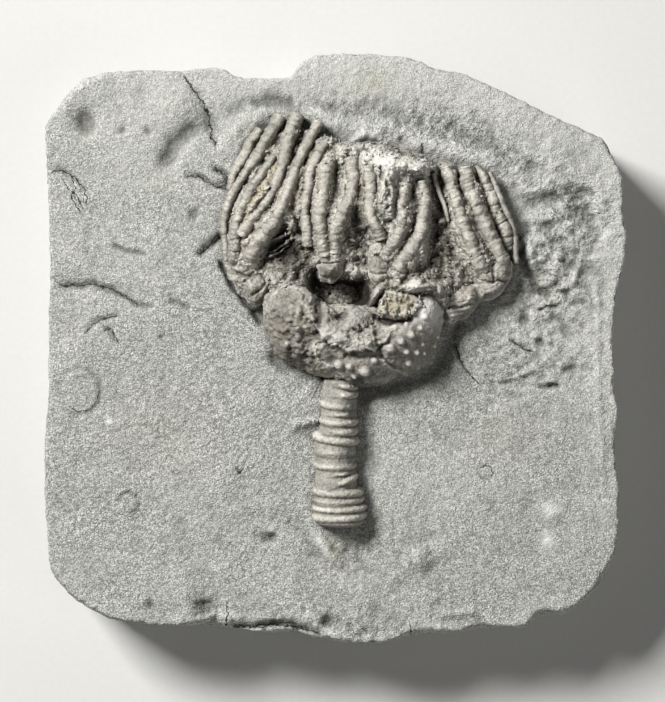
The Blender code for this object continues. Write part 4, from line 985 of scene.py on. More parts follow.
# Noise on the filling and the cup, as layers of height, grain and seed, and nets of creases alike.
CRUMB_LAYERS = ((0.4, 1.7, 34), (0.42, 0.8, 35), (0.22, 0.4, 36))
RUBBLE_CREASES = ((0.3, 2.2, 47), (0.2, 1.0, 48))
CUP_WEAR = ((0.26, 0.95, 42), (0.16, 0.42, 43))
CUP_CREASES = ((0.24, 1.9, 57), (0.16, 0.9, 58))
CUP_GRIT = ((2.0, 0.4), (0.85, 0.26), (0.42, 0.1))  # grain and depth, coarse first

# Smooth places among the rubble, same kind of table: x, y, reach across, reach along, turn, strength.
SMOOTH_PATCHES = (
    (0.3, 22.5, 1.2, 2.2, 0.0, 1.0),
    (20.0, 8.0, 3.0, 2.0, 0.0, 0.6),
    (8.8, 26.4, 4.6, 1.3, -12.0, 0.4),
    (7.5, 22.4, 2.4, 4.4, 0.0, 0.8),
    (11.0, 9.0, 0.9, 0.8, 0.0, 0.9),
    (6.0, 8.0, 0.9, 1.3, 0.0, 1.0),
    (-12.4, 9.4, 2.4, 2.8, 0.0, 1.0),
    (-15.0, 14.0, 1.2, 3.0, 0.0, 0.7),
    (22.6, 9.6, 2.6, 2.6, 0.0, 0.7),
)

# The porous yellowish lump over the cup's edge: a block with steep sides, and its height.
POROUS_LUMP = (
    (8.9, 6.2, 2.7, 1.6, -4.0, 2.2),
    (7.6, 7.0, 1.7, 1.5, 20.0, 1.2),
    (10.4, 6.6, 1.2, 1.5, 0.0, 1.0),
)
POROUS_HEIGHT = 7.2
FILLING_HIGHEST = 8.7

SILT_BELOW_CREST = 0.8
SILT_SLOPE = 1.1
BARED = 0.6  # an arm's crest stands out of the filling by this much at least
BARED_SLOPE = 2.2
TIP_SLOPE = 6.0  # the same past an arm's broken tip
DEEPEST = -1.8  # the filling's lowest hollow, from the slab's face
# Gaps between the arms that are open and deep, same kind of table.
OPEN_GAPS = (
    (-7.0, 14.6, 2.9, 2.6, 20.0, 1.5),
    (-5.5, 29.6, 0.6, 3.6, -21.0, 0.8),
    (-8.9, 29.5, 0.6, 2.4, -25.0, 0.3),
    (0.2, 23.0, 0.9, 3.2, 0.0, 0.15),
    (-4.1, 20.0, 0.5, 2.6, 0.0, 0.5),
    (3.4, 15.8, 1.8, 3.0, 0.0, 1.0),
    (14.6, 18.0, 1.4, 7.0, 5.0, 0.9),
    (15.6, 25.0, 0.6, 1.2, 0.0, 0.8),
    (18.0, 24.6, 0.5, 2.4, 10.0, 0.8),
    (20.6, 19.0, 0.6, 4.0, 22.0, 0.25),
    (11.0, 23.0, 0.5, 1.6, -5.0, 0.5),
    (1.0, 8.2, 3.6, 2.4, 0.0, 1.5),
)
# Tints of the filling, as the same kind of table.
WHITE_CRUST = (
    (7.6, 26.6, 4.4, 1.5, -12.0, 1.6),
    (11.4, 26.0, 2.4, 1.2, -15.0, 1.5),
    (12.2, 25.4, 1.6, 0.9, -15.0, 1.3),
    (3.4, 28.4, 1.6, 1.0, 0.0, 0.4),
    (4.6, 30.4, 2.4, 0.8, 0.0, 0.4),
    (7.4, 22.4, 2.2, 4.4, 0.0, 0.35),
    (6.2, 8.3, 0.7, 0.7, 0.0, 1.3),
    (5.6, 7.3, 0.6, 0.9, 0.0, 0.8),
    (11.0, 9.0, 1.0, 0.9, 0.0, 0.9),
    (3.2, 11.2, 1.2, 1.2, 0.0, 0.6),
    (9.5, 22.0, 0.6, 2.0, 0.0, 0.3),
)
YELLOW_FILL = (
    (-9.2, 26.4, 0.8, 3.0, -28.0, 0.9),
    (-11.2, 22.2, 0.9, 3.4, -30.0, 1.3),
    (-5.6, 22.0, 0.7, 3.0, -15.0, 0.5),
    (8.5, 6.2, 2.8, 1.9, 0.0, 1.0),
    (3.2, 22.5, 0.5, 2.6, 0.0, 0.5),
    (6.2, 9.0, 1.6, 1.2, 0.0, 0.4),
    (-1.5, 29.0, 2.2, 1.6, 0.0, 0.3),
)
# Painted shade in the crown's deep cavity and in its open gaps and crevices, same kind of table.
FILL_PAINTED_SHADE = (
    (1.0, 8.2, 3.4, 1.9, 0.0, 2.0),
    (3.4, 16.0, 1.8, 3.4, 0.0, 0.6),
    (14.5, 17.0, 1.6, 7.5, 0.0, 0.25),
    (-7.0, 14.3, 3.2, 2.7, 20.0, 1.0),
    (15.5, 10.5, 3.0, 2.4, 0.0, 0.15),
    (-3.2, 9.8, 0.8, 1.8, 0.0, 0.9),
    (2.9, 21.0, 1.5, 3.0, 0.0, 0.4),
    (-6.0, 11.2, 3.0, 2.0, 0.0, 0.3),
    (3.9, 7.4, 1.2, 2.2, 0.0, 0.9),
    (8.3, 3.9, 2.2, 0.5, 0.0, 1.0),
)
ROCKY_FILL = (
    (4.0, 32.0, 8.0, 2.0, -6.0, 1.0),
    (15.0, 28.4, 7.0, 2.0, -18.0, 1.0),
    (-4.0, 32.0, 3.6, 2.0, 0.0, 1.0),
    (13.0, 27.0, 2.4, 2.0, 0.0, 0.5),
    (26.5, 14.0, 1.6, 9.0, 0.0, 0.8),
    (-17.0, 14.0, 1.2, 8.0, 0.0, 0.7),
)


def cobbles(x, y, size, seed):
    """Rounded lumps of one size packed side by side, 0 to 1, each of its own height."""
    generator = np.random.default_rng(seed)
    table = generator.uniform(0.1, 0.9, (COBBLE_CELLS, COBBLE_CELLS, 2))
    tall = generator.uniform(0.3, 1.0, (COBBLE_CELLS, COBBLE_CELLS))
    gx = x / size + 0.5 * NOISE_ORIGIN
    gy = y / size + 0.5 * NOISE_ORIGIN
    ix = np.floor(gx).astype(int)
    iy = np.floor(gy).astype(int)
    nearest = np.full_like(x, 9.0)
    height = np.zeros_like(x)
    for i in (-1, 0, 1):
        for j in (-1, 0, 1):
            cx = (ix + i) % COBBLE_CELLS
            cy = (iy + j) % COBBLE_CELLS
            away = np.hypot(ix + i + table[cx, cy, 0] - gx, iy + j + table[cx, cy, 1] - gy)
            closer = away < nearest
            nearest = np.where(closer, away, nearest)
            height = np.where(closer, tall[cx, cy], height)
    return height * np.sqrt(np.clip(1.0 - (nearest / COBBLE_RADIUS) ** 2, 0.0, 1.0))


def silted(x, y):
    """Rock left in the gaps between arms, a little under their crests, and the most that shows each arm."""
    uneven = rough(x, y, 1.6, 37)
    below = SILT_BELOW_CREST + 0.45 * uneven + 2.6 * patches(OPEN_GAPS, x, y)
    highest = np.full_like(x, -9.0)
    most = np.full_like(x, 99.0)
    for stations, _, crest in ARM_LINES.values():
        ax, ay, width = stations[::3].T
        near = (x > ax.min() - 4.0) & (x < ax.max() + 4.0) & (y > ay.min() - 2.0) & (y < ay.max() + 2.0)
        if not near.any():
            continue
        away = np.hypot(x[near][:, None] - ax, y[near][:, None] - ay)
        closest = away.argmin(axis=1)
        beside = np.maximum(0.0, away.min(axis=1) - 0.5 * width[closest])
        over_face = crest[::3][closest] - SLAB_FACE
        highest[near] = np.maximum(highest[near], over_face - below[near] - SILT_SLOPE * beside)
        slope = np.where(closest == 0, TIP_SLOPE, BARED_SLOPE)
        most[near] = np.minimum(most[near], over_face - BARED + 0.3 * uneven[near] + slope * beside)
    return highest, most


def tegmen_face(x, y):
    """Height of the crown's filling over the slab's level face."""
    calm = 1.0 - patches(SMOOTH_PATCHES, x, y)
    rubble = 0.75 * cobbles(x + 0.3 * rough(x, y, 1.2, 31), y, 1.9, 32) + 0.35 * cobbles(x, y, 0.85, 33)
    crumbs = roughened(x, y, *CRUMB_LAYERS)
    broken = calm * (rubble + crumbs)
    marks = sum(lines(table, x, y) for table in (TEGMEN_LINES, TEGMEN_RIDGES, TEGMEN_RODS))
    marks += spots(TEGMEN_SPOTS, x, y) - calm * creases(x, y, *RUBBLE_CREASES)
    dome = swells(DOME_LUMPS + RUBBLE_LUMPS, x, y) - 0.2
    porous = patches(POROUS_LUMP, x + 0.9 * rough(x, y, 1.6, 81), y + 0.3 * rough(x, y, 1.0, 82))
    block = POROUS_HEIGHT - 9.0 * (1.0 - porous)
    block += 0.5 * cobbles(x, y, 0.75, 44) + roughened(x, y, (0.5, 0.5, 45), (0.3, 1.6, 83))
    bare = np.minimum(np.maximum(dome + broken + marks, block), FILLING_HIGHEST + 0.3 * crumbs)
    silt, most = silted(x, y)
    filled = np.maximum(bare, silt + 0.6 * (broken - 0.2 * calm))
    return np.maximum(DEEPEST + crumbs, np.minimum(most + 0.6 * (broken - 0.4 * calm), filled))


def make_tegmen(finish):
    """Crushed roof plates and hard rock between the arms, one low dome let into the slab."""
    outline = skin_outline(TEGMEN_OUTLINE, TEGMEN_SPOKES, 6)
    middle = np.array(TEGMEN_MIDDLE)
    spread = outline - middle
    spread *= 1.0 + 0.03 * rough(*outline.T, 2.0, 38)[:, None]
    rings = []
    for share, height in TEGMEN_SKIRT:
        rings.append(np.column_stack((middle + spread * share, np.full(TEGMEN_SPOKES, SLAB_FACE + height))))
    for share in np.linspace(1.0, 0.0, TEGMEN_FACE_RINGS)[:-1]:
        place = middle + spread * share
        gentle = (place > GENTLE_CORNER).all(axis=1)
        fade = eased(np.clip((1.0 - share) / np.where(gentle, GENTLE_SLOPE, STEEP_SLOPE), 0.0, 1.0))
        height = (tegmen_face(*place.T) + SUNK) * fade - SUNK
        rings.append(np.column_stack((place, SLAB_FACE + height)))
    rings = np.array(rings)
    x, y, z = np.moveaxis(rings, 2, 0)
    over_slab = z - SLAB_FACE
    rods = np.clip(lines(TEGMEN_RODS, x, y), 0.0, 1.0)
    # The dark mark is painted shade in the cavity, the open gaps and the crevices.
    dark = patches(FILL_PAINTED_SHADE, x, y) * (1.0 - rods)
    crumbly = np.clip((over_slab - 0.3) * 2.0, 0.0, 1.0) * (rough(x, y, 1.6, 39) > -0.25)
    # hollow darkens hollows with painted shade, partly dirt; raised lightens bumps with painted highlights,
    # partly rubbed wear.
    under, over = relief(z)
    shown = np.clip((over_slab - 0.6) / 0.8, 0.0, 1.0)
    piece = closed_skin(
        "crushed_roof_plates", rings, (*TEGMEN_MIDDLE, SLAB_FACE + TEGMEN_SKIRT[0][1]),
        (*TEGMEN_MIDDLE, z[-1].mean()),
        hollow=under * shown, raised=over * shown * (1.0 - dark), dark=dark,
        pale=np.maximum(patches(WHITE_CRUST, x, y), 0.45 * rods), stain=patches(YELLOW_FILL, x, y),
        crumbly=crumbly * (1.0 - patches(SMOOTH_PATCHES, x, y)), rock=patches(ROCKY_FILL, x, y))
    gritted(piece, 0.5, 0.2, finish)
    grown(piece, CRUMBS, **{"Crumb Size": 0.36 * MM, "Crumb Spacing": 0.62 * MM, "Finish": finish})
    return finished(piece, "crushed_tegmen")


def cup_face(x, y, share):
    """Height of the cup's plates over the slab's level face."""
    rim = CUP_LOW_RIM + (CUP_HIGH_RIM - CUP_LOW_RIM) * np.clip((y + 2.0) / 8.0, 0.0, 1.0)
    dome = rim + (CUP_HEIGHT - rim) * np.sqrt(np.clip(1.0 - share**2.4, 0.0, 1.0))
    marks = lines(CUP_LINES, x, y) + spots(CUP_SPOTS, x, y) + ledges(CUP_LEDGES, x, y)
    battered = (0.5 + patches(CUP_BATTERED, x, y)) * (1.0 - 0.85 * patches(CUP_SMOOTH, x, y))
    worn = 0.3 * rough(x, y, 2.4, 41)
    worn += battered * (roughened(x, y, *CUP_WEAR) - creases(x, y, *CUP_CREASES))
    open_rim = np.clip((y - 5.4) / 1.4, 0.0, 1.0)
    open_rim *= np.clip((x + 3.6) / 1.2, 0.0, 1.0) * np.clip(12.0 - x, 0.0, 1.0)
    plates = (1.0 - share**4) * (swells(CUP_SWELLS, x, y) + marks + worn)
    return dome + plates - open_rim * (1.2 + 0.9 * rough(x, y, 1.3, 46))


def make_cup(finish, knobs):
    """The cup: a steep half dome of bulging plates, drawn in below, set with knobs."""
    outline = skin_outline(CUP_OUTLINE, CUP_SPOKES, 8)
    middle = np.array(CUP_MIDDLE)
    spread = outline - middle
    around = np.arange(CUP_SPOKES) * CUP_SPOKE_STEP
    lowest = -2.0 * SUNK
    rim = cup_face(*outline.T, np.ones(CUP_SPOKES))
    rings = []
    for share, rise in CUP_SIDE:
        uneven = 0.012 * rough(around, np.full_like(around, 6.0 * rise), 1.4, 51) * (rise > 0.0)
        place = middle + spread * (share + uneven)[:, None]
        rings.append(np.column_stack((place, SLAB_FACE + lowest + rise * (rim - lowest))))
    for share in 1.0 - np.linspace(0.0, 1.0, CUP_FACE_RINGS)[:-1] ** 1.35:
        place = middle + spread * share
        height = cup_face(*place.T, np.full(CUP_SPOKES, share))
        rings.append(np.column_stack((place, SLAB_FACE + height)))
    rings = np.array(rings)
    x, y, z = np.moveaxis(rings, 2, 0)
    # hollow darkens hollows with painted shade, partly dirt; raised lightens bumps with painted highlights,
    # partly rubbed wear, and also carries the real pale fringes.
    under, over = relief(z)
    over *= np.linspace(0.0, 1.0, len(rings))[:, None] > 0.15
    fringe = lines(CUP_FRINGES, x, y) * (rough(x, y, 0.5, 59) > -0.3)
    # The dark mark is partly the plates' own darker grey and partly painted shade in crevices and recesses.
    dark = patches(CUP_DARK, x, y)
    piece = closed_skin(
        "knobbed_cup", rings, (*CUP_MIDDLE, SLAB_FACE + lowest), (*CUP_MIDDLE, z[-1].mean()),
        hollow=under, raised=np.clip(over * (1.0 - 0.6 * dark) + fringe, 0.0, 1.0), dark=dark,
        calm=0.85 * patches(CUP_SMOOTH, x, y), stain=patches(CUP_STAINS, x, y),
        pale=patches(CUP_LIGHT, x, y))
    for grain, depth in CUP_GRIT:
        gritted(piece, grain, depth, finish)
    grown(piece, KNOBS, **{"Knob Places": knobs, "Finish": finish})
    return finished(piece, "calyx_cup")


def knob_points():
    """The middles of the cup's knobs on its face, with their radius and height, as loose points."""
    x, y, radius, rise = np.array(CUP_KNOBS).T
    spread = skin_outline(CUP_OUTLINE, CUP_SPOKES, 8) - np.array(CUP_MIDDLE)
    angles = np.arctan2(spread[:, 1], spread[:, 0])
    order = np.argsort(angles)
    bearing = np.arctan2(y - CUP_MIDDLE[1], x - CUP_MIDDLE[0])
    limit = np.interp(bearing, angles[order], np.hypot(*spread.T)[order], period=2.0 * math.pi)
    share = np.clip(np.hypot(x - CUP_MIDDLE[0], y - CUP_MIDDLE[1]) / limit, 0.0, 1.0)
    place = np.column_stack((x, y, SLAB_FACE + cup_face(x, y, share)))
    return loose_points("knob_points", place, radius=radius * MM, rise=rise * MM)


# ---------------------------------------------------------------- plates at the forks

FORK_SPOKES = 150
FORK_FACE_RINGS = 40
FORK_DEPTH = 4.0
# Rings below a plate's face: share of the way out, height over its lowest point.
FORK_SKIRT = ((0.9, 0.0), (0.97, 0.8), (1.0, 1.7))
# Its wear, as layers of height, grain and seed, and nets of creases alike.
FORK_WEAR = ((0.26, 1.7, 61), (0.14, 0.75, 62), (0.06, 0.4, 64))
FORK_CREASES = ((0.16, 2.0, 75), (0.08, 0.9, 76))


def make_fork_plate(name, finish):
    """Low bulging plates where arms meet, let into what lies below them."""
    corners, bulges, seams = FORK_PLATES[name]
    outline = skin_outline(corners, FORK_SPOKES, 9)
    middle = outline.mean(axis=0)
    spread = outline - middle
    spread *= 1.0 + 0.07 * rough(*outline.T, 1.1, 63)[:, None]
    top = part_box(name)[1][2] / MM
    low = top - FORK_DEPTH
    rings = []
    for share, rise in FORK_SKIRT:
        rings.append(np.column_stack((middle + spread * share, np.full(FORK_SPOKES, low + rise))))
    for share in 1.0 - np.linspace(0.0, 1.0, FORK_FACE_RINGS)[:-1] ** 1.3:
        place = middle + spread * share
        x, y = place.T
        dome = top - 0.9 - 1.2 * share**3
        worn = roughened(x, y, *FORK_WEAR) - creases(x, y, *FORK_CREASES)
        height = dome + (1.0 - share**8) * (lines(seams, x, y) + 0.9 * swells(bulges, x, y)) + worn
        rings.append(np.column_stack((place, height)))
    rings = np.array(rings)
    x, y, z = np.moveaxis(rings, 2, 0)
    # hollow darkens hollows with painted shade, partly dirt; raised lightens bumps with painted highlights,
    # partly rubbed wear; dark is painted shade on the plates' lower parts.
    under, over = relief(z)
    piece = closed_skin(
        f"worn_{name}", rings, (*middle, low), (*middle, z[-1].mean()),
        hollow=under, raised=over, low=0.3 + 0.3 * rough(x, y, 1.3, 65), green=patches(GREENISH, x, y),
        dark=patches(FORK_SHADE, x, y))
    gritted(piece, 0.5, 0.08, finish)
    return finished(piece, name)


# ---------------------------------------------------------------- arms

STATION_STEP = 0.12
STATIONS_PER_SPAN = 24  # of the fine curve between two points of a route
END_ROUNDING = 0.1
TIP_LENGTH = 2.4  # how far an arm's broken tip keeps its height
TIP_DROP = 0.25
CREST_WINDOW = 31  # stations over which a crest's heights are evened out
DEEPER_THAN_WIDE = 1.3
RAY_FROM = 100.0  # height from which rays fall on an arm
# How an arm's width, height and course vary along it, as layers of height, grain and seed.
WIDTH_LAYERS = ((0.1, 1.8, 67), (0.06, 0.7, 77))
HEIGHT_LAYERS = ((0.2, 2.2, 69),)
COURSE_LAYERS = ((0.16, 2.6, 70),)
PLATE_LENGTH = 1.25
SUTURE_DEPTH = 0.05
# Arms whose plates are longer or more deeply jointed: plate length and joint depth.
ARM_JOINTS = {"right_arm_4": (1.55, 0.24), "left_arm_2": (1.3, 0.09), "left_arm_5": (1.5, 0.07)}


def smooth_route(points):
    """Stations at equal steps along the smooth curve through a route of x, y, width."""
    nodes = np.array(points)
    padded = np.vstack((2 * nodes[0] - nodes[1], nodes, 2 * nodes[-1] - nodes[-2]))
    t = np.linspace(0.0, 1.0, STATIONS_PER_SPAN, endpoint=False)[:, None]
    spans = []
    for a, b, c, d in zip(padded, padded[1:], padded[2:], padded[3:]):
        spans.append(0.5 * (2 * b + (c - a) * t + (2 * a - 5 * b + 4 * c - d) * t**2
                            + (3 * b - a - 3 * c + d) * t**3))
    fine = np.vstack((*spans, nodes[-1]))
    passed = np.concatenate(([0.0], np.cumsum(np.hypot(*np.diff(fine[:, :2], axis=0).T))))
    along = np.linspace(0.0, passed[-1], round(passed[-1] / STATION_STEP) + 1)
    return np.column_stack([np.interp(along, passed, fine[:, k]) for k in range(3)]), along


def crest_heights(cad_node, stations):
    """Heights of a CAD arm's crest at the stations, evened out along it."""
    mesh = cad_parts[cad_node].data
    tree = BVHTree.FromPolygons([v.co for v in mesh.vertices], [p.vertices for p in mesh.polygons])
    heights = []
    for x, y, _ in stations:
        hit = tree.ray_cast(Vector((x, y, RAY_FROM)) * MM, Vector((0.0, 0.0, -1.0)))[0]
        heights.append(hit.z / MM if hit else np.nan)
    heights = np.array(heights)
    known = ~np.isnan(heights)
    steps = np.arange(len(heights))
    heights = np.interp(steps, steps[known], heights[known])
    kernel = np.hanning(CREST_WINDOW + 2)[1:-1]
    padded = np.pad(heights, CREST_WINDOW // 2, mode="edge")
    return np.convolve(padded, kernel / kernel.sum(), "valid")


def arm_line(name):
    """An arm's stations, their distance along it and the heights of its crest."""
    stations, along = smooth_route(ARMS[name])
    crest = crest_heights(name, stations)
    held = round(TIP_LENGTH / STATION_STEP)
    crest[:held] = np.maximum(crest[:held], crest[held] - TIP_DROP)
    return stations, along, crest


def make_arm(name, finish):
    """One arm: a row of short plates along its route, grown by the plated arm tree."""
    stations, along, crest = ARM_LINES[name]
    place = stations[:, :2]
    width = stations[:, 2]
    to_end = np.minimum(along, along[-1] - along)
    rounding = np.sqrt(1.0 - (1.0 - np.clip(to_end / END_ROUNDING, 0.0, 1.0)) ** 2)
    own = np.full_like(along, 3.0 * len(along))
    half = 0.5 * width * (0.84 + 0.16 * rounding) * (1.0 + roughened(along, own, *WIDTH_LAYERS))
    direction = np.gradient(place, axis=0)
    direction /= np.hypot(*direction.T)[:, None]
    aside = np.column_stack((-direction[:, 1], direction[:, 0]))
    place = place + aside * roughened(along, own, *COURSE_LAYERS)[:, None]
    middle = crest + roughened(along, own, *HEIGHT_LAYERS) - 0.5 * DEEPER_THAN_WIDE * width
    points = np.column_stack((place, middle))
    steps = np.arange(len(points))
    piece = loose_points(
        f"plated_{name}", points, np.column_stack((steps[:-1], steps[1:])).tolist(),
        half_width=half * MM, along=along * MM, middle=points * MM, green=patches(ARM_GREY, *place.T))
    length, depth = ARM_JOINTS.get(name, (PLATE_LENGTH, SUTURE_DEPTH))
    grown(piece, PLATED_ARM, **{"Plate Length": length * MM, "Suture Depth": depth, "Unevenness": 0.75,
                               "Depth Over Width": DEEPER_THAN_WIDE, "Finish": finish})
    return finished(piece, name)


# ---------------------------------------------------------------- stem

STEM_LEAN = 7.0  # degrees by which the rings' tops lean towards the stem's end
CORE_STEP = 0.3
CORE_SHARE = 0.91  # the core's size, as a share of the whole stem's
CORE_SLICE = 1.5
RIB_SPREAD = 2.6  # a rib's whole length along the stem, most of it inside the core, over its seen width
FUSED_VOXEL = 0.1
# The painted shadow line under each rib: how far below its middle, over its width, and half how wide.
UNDER_RIB = 0.62
UNDER_RIB_WIDTH = 0.17


def make_stem(finish):
    """The stem: uneven rounded ribs on a core, half in the rock, fused and worn."""
    left, right = np.array([ring[:2] for ring in STEM_RINGS]).swapaxes(0, 1)
    thick, share = np.array([ring[2:] for ring in STEM_RINGS]).T
    route = np.array(STEM_ROUTE)
    core_y = np.arange(route[0, 1], route[-1, 1], -CORE_STEP)
    core_x, core_width = (np.interp(-core_y, -route[:, 1], route[:, k]) for k in (0, 2))
    core_width *= CORE_SHARE * (1.0 + 0.03 * rough(core_y, core_y * 0.0, 1.1, 66))
    core_height = 0.1 * rough(core_y, core_y * 0.0, 0.9, 68)
    level = np.zeros_like(core_y)
    height = STEM_TOP - STEM_MIDDLE

    middle = np.vstack((0.5 * (left + right), np.column_stack((core_x, core_y))))
    width = np.concatenate((share * np.hypot(*(right - left).T), core_width))
    length = np.concatenate((thick * RIB_SPREAD, level + CORE_SLICE))
    turn = np.concatenate((np.arctan2(*(right - left).T[::-1]), level))
    lean = np.full_like(turn, math.radians(STEM_LEAN))
    deep = np.concatenate((height * share, height * CORE_SHARE + core_height))
    piece = loose_points(
        "ringed_stem", np.column_stack((middle, np.full_like(turn, SLAB_FACE + STEM_MIDDLE))),
        turn=np.column_stack((lean, np.zeros_like(turn), turn)),
        size=np.column_stack((0.5 * width, 0.5 * length, deep)) * MM)
    grown(piece, RINGED_STEM, **{"Finish": finish})
    fused = piece.modifiers.new("fused", "REMESH")
    fused.mode = "VOXEL"
    fused.voxel_size = FUSED_VOXEL * MM
    fused.use_smooth_shade = True
    worn = piece.modifiers.new("worn", "SMOOTH")
    worn.factor = 0.5
    worn.iterations = 5
    shape = piece.evaluated_get(bpy.context.evaluated_depsgraph_get())
    piece.data = bpy.data.meshes.new_from_object(shape)
    piece.modifiers.clear()
    mark_ribs(piece.data, route, height)
    gritted(piece, 0.6, 0.07, finish)
    return finished(piece, "stem")


def mark_ribs(mesh, route, height):
    """Mark the worn crests of the ribs, the grooves between them and the painted shadow line under each."""
    place = np.empty(3 * len(mesh.vertices))
    mesh.vertices.foreach_get("co", place)
    x, y, z = place.reshape(-1, 3).T / MM
    over = z - SLAB_FACE - STEM_MIDDLE
    leaned = -(y + math.tan(math.radians(STEM_LEAN)) * over)
    core_x, core_width = (np.interp(leaned, -route[:, 1], route[:, k]) for k in (0, 2))
    out_of_core = np.hypot(2.0 * (x - core_x) / core_width, over / height) - CORE_SHARE
    crest = np.clip(out_of_core / 0.06, 0.0, 1.0)
    # under is a painted shadow line beneath each rib, kept as the hollow mark.
    under = np.zeros_like(x)
    for (ax, ay), (bx, by), thick, _ in STEM_RINGS:
        below = np.interp(x, (ax, bx), (ay, by)) + leaned
        along = np.clip((x - ax) / 0.4, 0.0, 1.0) * np.clip((bx - x) / 0.4 + 0.5, 0.0, 1.0)
        under += along * np.exp(-(((below - UNDER_RIB * thick) / UNDER_RIB_WIDTH) ** 2))
    keep_marks(mesh, crest=crest, groove=1.0 - crest, hollow=np.clip(under, 0.0, 1.0))


# ---------------------------------------------------------------- geometry trees


def geometry_tree(name, sizes):
    """An empty geometry tree with a Geometry, named sizes and a Finish; returns it and its input."""
    tree = bpy.data.node_groups.new(name, "GeometryNodeTree")
    tree.interface.new_socket("Geometry", in_out="INPUT", socket_type="NodeSocketGeometry")
    for size, kind in sizes:
        tree.interface.new_socket(size, in_out="INPUT", socket_type=f"NodeSocket{kind}")
    tree.interface.new_socket("Finish", in_out="INPUT", socket_type="NodeSocketMaterial")
    tree.interface.new_socket("Geometry", in_out="OUTPUT", socket_type="NodeSocketGeometry")
    return tree, node(tree, "NodeGroupInput")


def end_tree(tree, given, shape, rounded=True):
    """Realize, shade a rounded shape smooth, give the finish and put out."""
    made = node(tree, "GeometryNodeRealizeInstances", {"Geometry": shape})
    if rounded:
        made = node(tree, "GeometryNodeSetShadeSmooth", {"Geometry": made})
    dressed = node(tree, "GeometryNodeSetMaterial",
                   {"Geometry": made, "Material": given.outputs["Finish"]})
    node(tree, "NodeGroupOutput", {"Geometry": dressed})


def stone_grit():
    """Moves every point in or out along its normal by fine noise, but leaves a level underside."""
    tree, given = geometry_tree("stone_grit", (("Grain", "Float"), ("Depth", "Float")))
    place = node(tree, "GeometryNodeInputPosition")
    per_grain = node(tree, "ShaderNodeMath", {0: 1.0, 1: given.outputs["Grain"]}, operation="DIVIDE")
    scaled = node(tree, "ShaderNodeVectorMath", {0: place, "Scale": per_grain},
                  operation="SCALE")
    grains = node(tree, "ShaderNodeTexNoise", {"Vector": scaled, "Scale": 1.0, "Detail": 1.5})
    centred = node(tree, "ShaderNodeMath", {0: grains, 1: 0.5}, operation="SUBTRACT")
    depth = node(tree, "ShaderNodeMath", {0: centred, 1: given.outputs["Depth"]},
                 operation="MULTIPLY")
    calm = node(tree, "GeometryNodeInputNamedAttribute", {"Name": "calm"}, data_type="FLOAT")
    stirred = node(tree, "ShaderNodeMath", {0: calm.outputs["Attribute"], 1: -3.0, 2: 3.0},
                   operation="MULTIPLY_ADD")
    twice = node(tree, "ShaderNodeMath", {0: depth, 1: stirred}, operation="MULTIPLY")
    normal = node(tree, "GeometryNodeInputNormal")
    move = node(tree, "ShaderNodeVectorMath", {0: normal, "Scale": twice},
                operation="SCALE")
    height = node(tree, "ShaderNodeSeparateXYZ", {0: place})
    off_floor = node(tree, "FunctionNodeCompare", {0: height.outputs["Z"], 1: 0.1 * MM},
                     operation="GREATER_THAN")
    moved = node(tree, "GeometryNodeSetPosition",
                 {"Geometry": given.outputs["Geometry"], "Selection": off_floor,
                  "Offset": move})
    end_tree(tree, given, moved)
    return tree


def crumbs_on_face():
    """Scatters small turned crumbs over the crumbly part of a face, half sunk in it."""
    tree, given = geometry_tree("crumbs_on_face", (("Crumb Size", "Float"), ("Crumb Spacing", "Float")))
    crumbly = node(tree, "GeometryNodeInputNamedAttribute", {"Name": "crumbly"}, data_type="FLOAT")
    chosen = node(tree, "FunctionNodeCompare", {0: crumbly.outputs["Attribute"], 1: 0.5},
                  operation="GREATER_THAN")
    scatter = node(tree, "GeometryNodeDistributePointsOnFaces",
                   {"Mesh": given.outputs["Geometry"], "Selection": chosen,
                    "Distance Min": given.outputs["Crumb Spacing"], "Density Max": 4e6, "Seed": 5},
                   distribute_method="POISSON")
    ball = node(tree, "GeometryNodeMeshIcoSphere", {"Radius": 1.0, "Subdivisions": 1})
    corner = node(tree, "GeometryNodeInputPosition")
    lumps = node(tree, "ShaderNodeTexNoise", {"Vector": corner, "Scale": 0.9, "Detail": 1.0})
    push = node(tree, "ShaderNodeMapRange",
                {"Value": lumps, "From Min": 0.3, "From Max": 0.7, "To Min": 0.55, "To Max": 1.3})
    dented = node(tree, "ShaderNodeVectorMath", {0: corner, "Scale": push},
                  operation="SCALE")
    stone = node(tree, "GeometryNodeSetPosition", {"Geometry": ball, "Position": dented})
    least = node(tree, "ShaderNodeVectorMath",
                 {0: (0.3, 0.3, 0.2), "Scale": given.outputs["Crumb Size"]}, operation="SCALE")
    most = node(tree, "ShaderNodeVectorMath",
                {0: (2.0, 1.0, 0.7), "Scale": given.outputs["Crumb Size"]}, operation="SCALE")
    size = node(tree, "FunctionNodeRandomValue", {0: least, 1: most, "Seed": 6},
                data_type="FLOAT_VECTOR")
    turn = node(tree, "FunctionNodeRandomValue", {1: (6.3, 6.3, 6.3), "Seed": 7}, data_type="FLOAT_VECTOR")
    crumbs = node(tree, "GeometryNodeInstanceOnPoints",
                  {"Points": scatter, "Instance": stone,
                   "Rotation": turn, "Scale": size})
    tone = node(tree, "FunctionNodeRandomValue", {"Seed": 8}, data_type="FLOAT")
    toned = node(tree, "GeometryNodeStoreNamedAttribute",
                 {"Geometry": crumbs, "Name": "crumb", "Value": tone.outputs[1]},
                 data_type="FLOAT", domain="INSTANCE")
    both = node(tree, "GeometryNodeJoinGeometry", {"Geometry": toned})
    tree.links.new(given.outputs["Geometry"], both.inputs["Geometry"])
    end_tree(tree, given, both, rounded=False)
    return tree


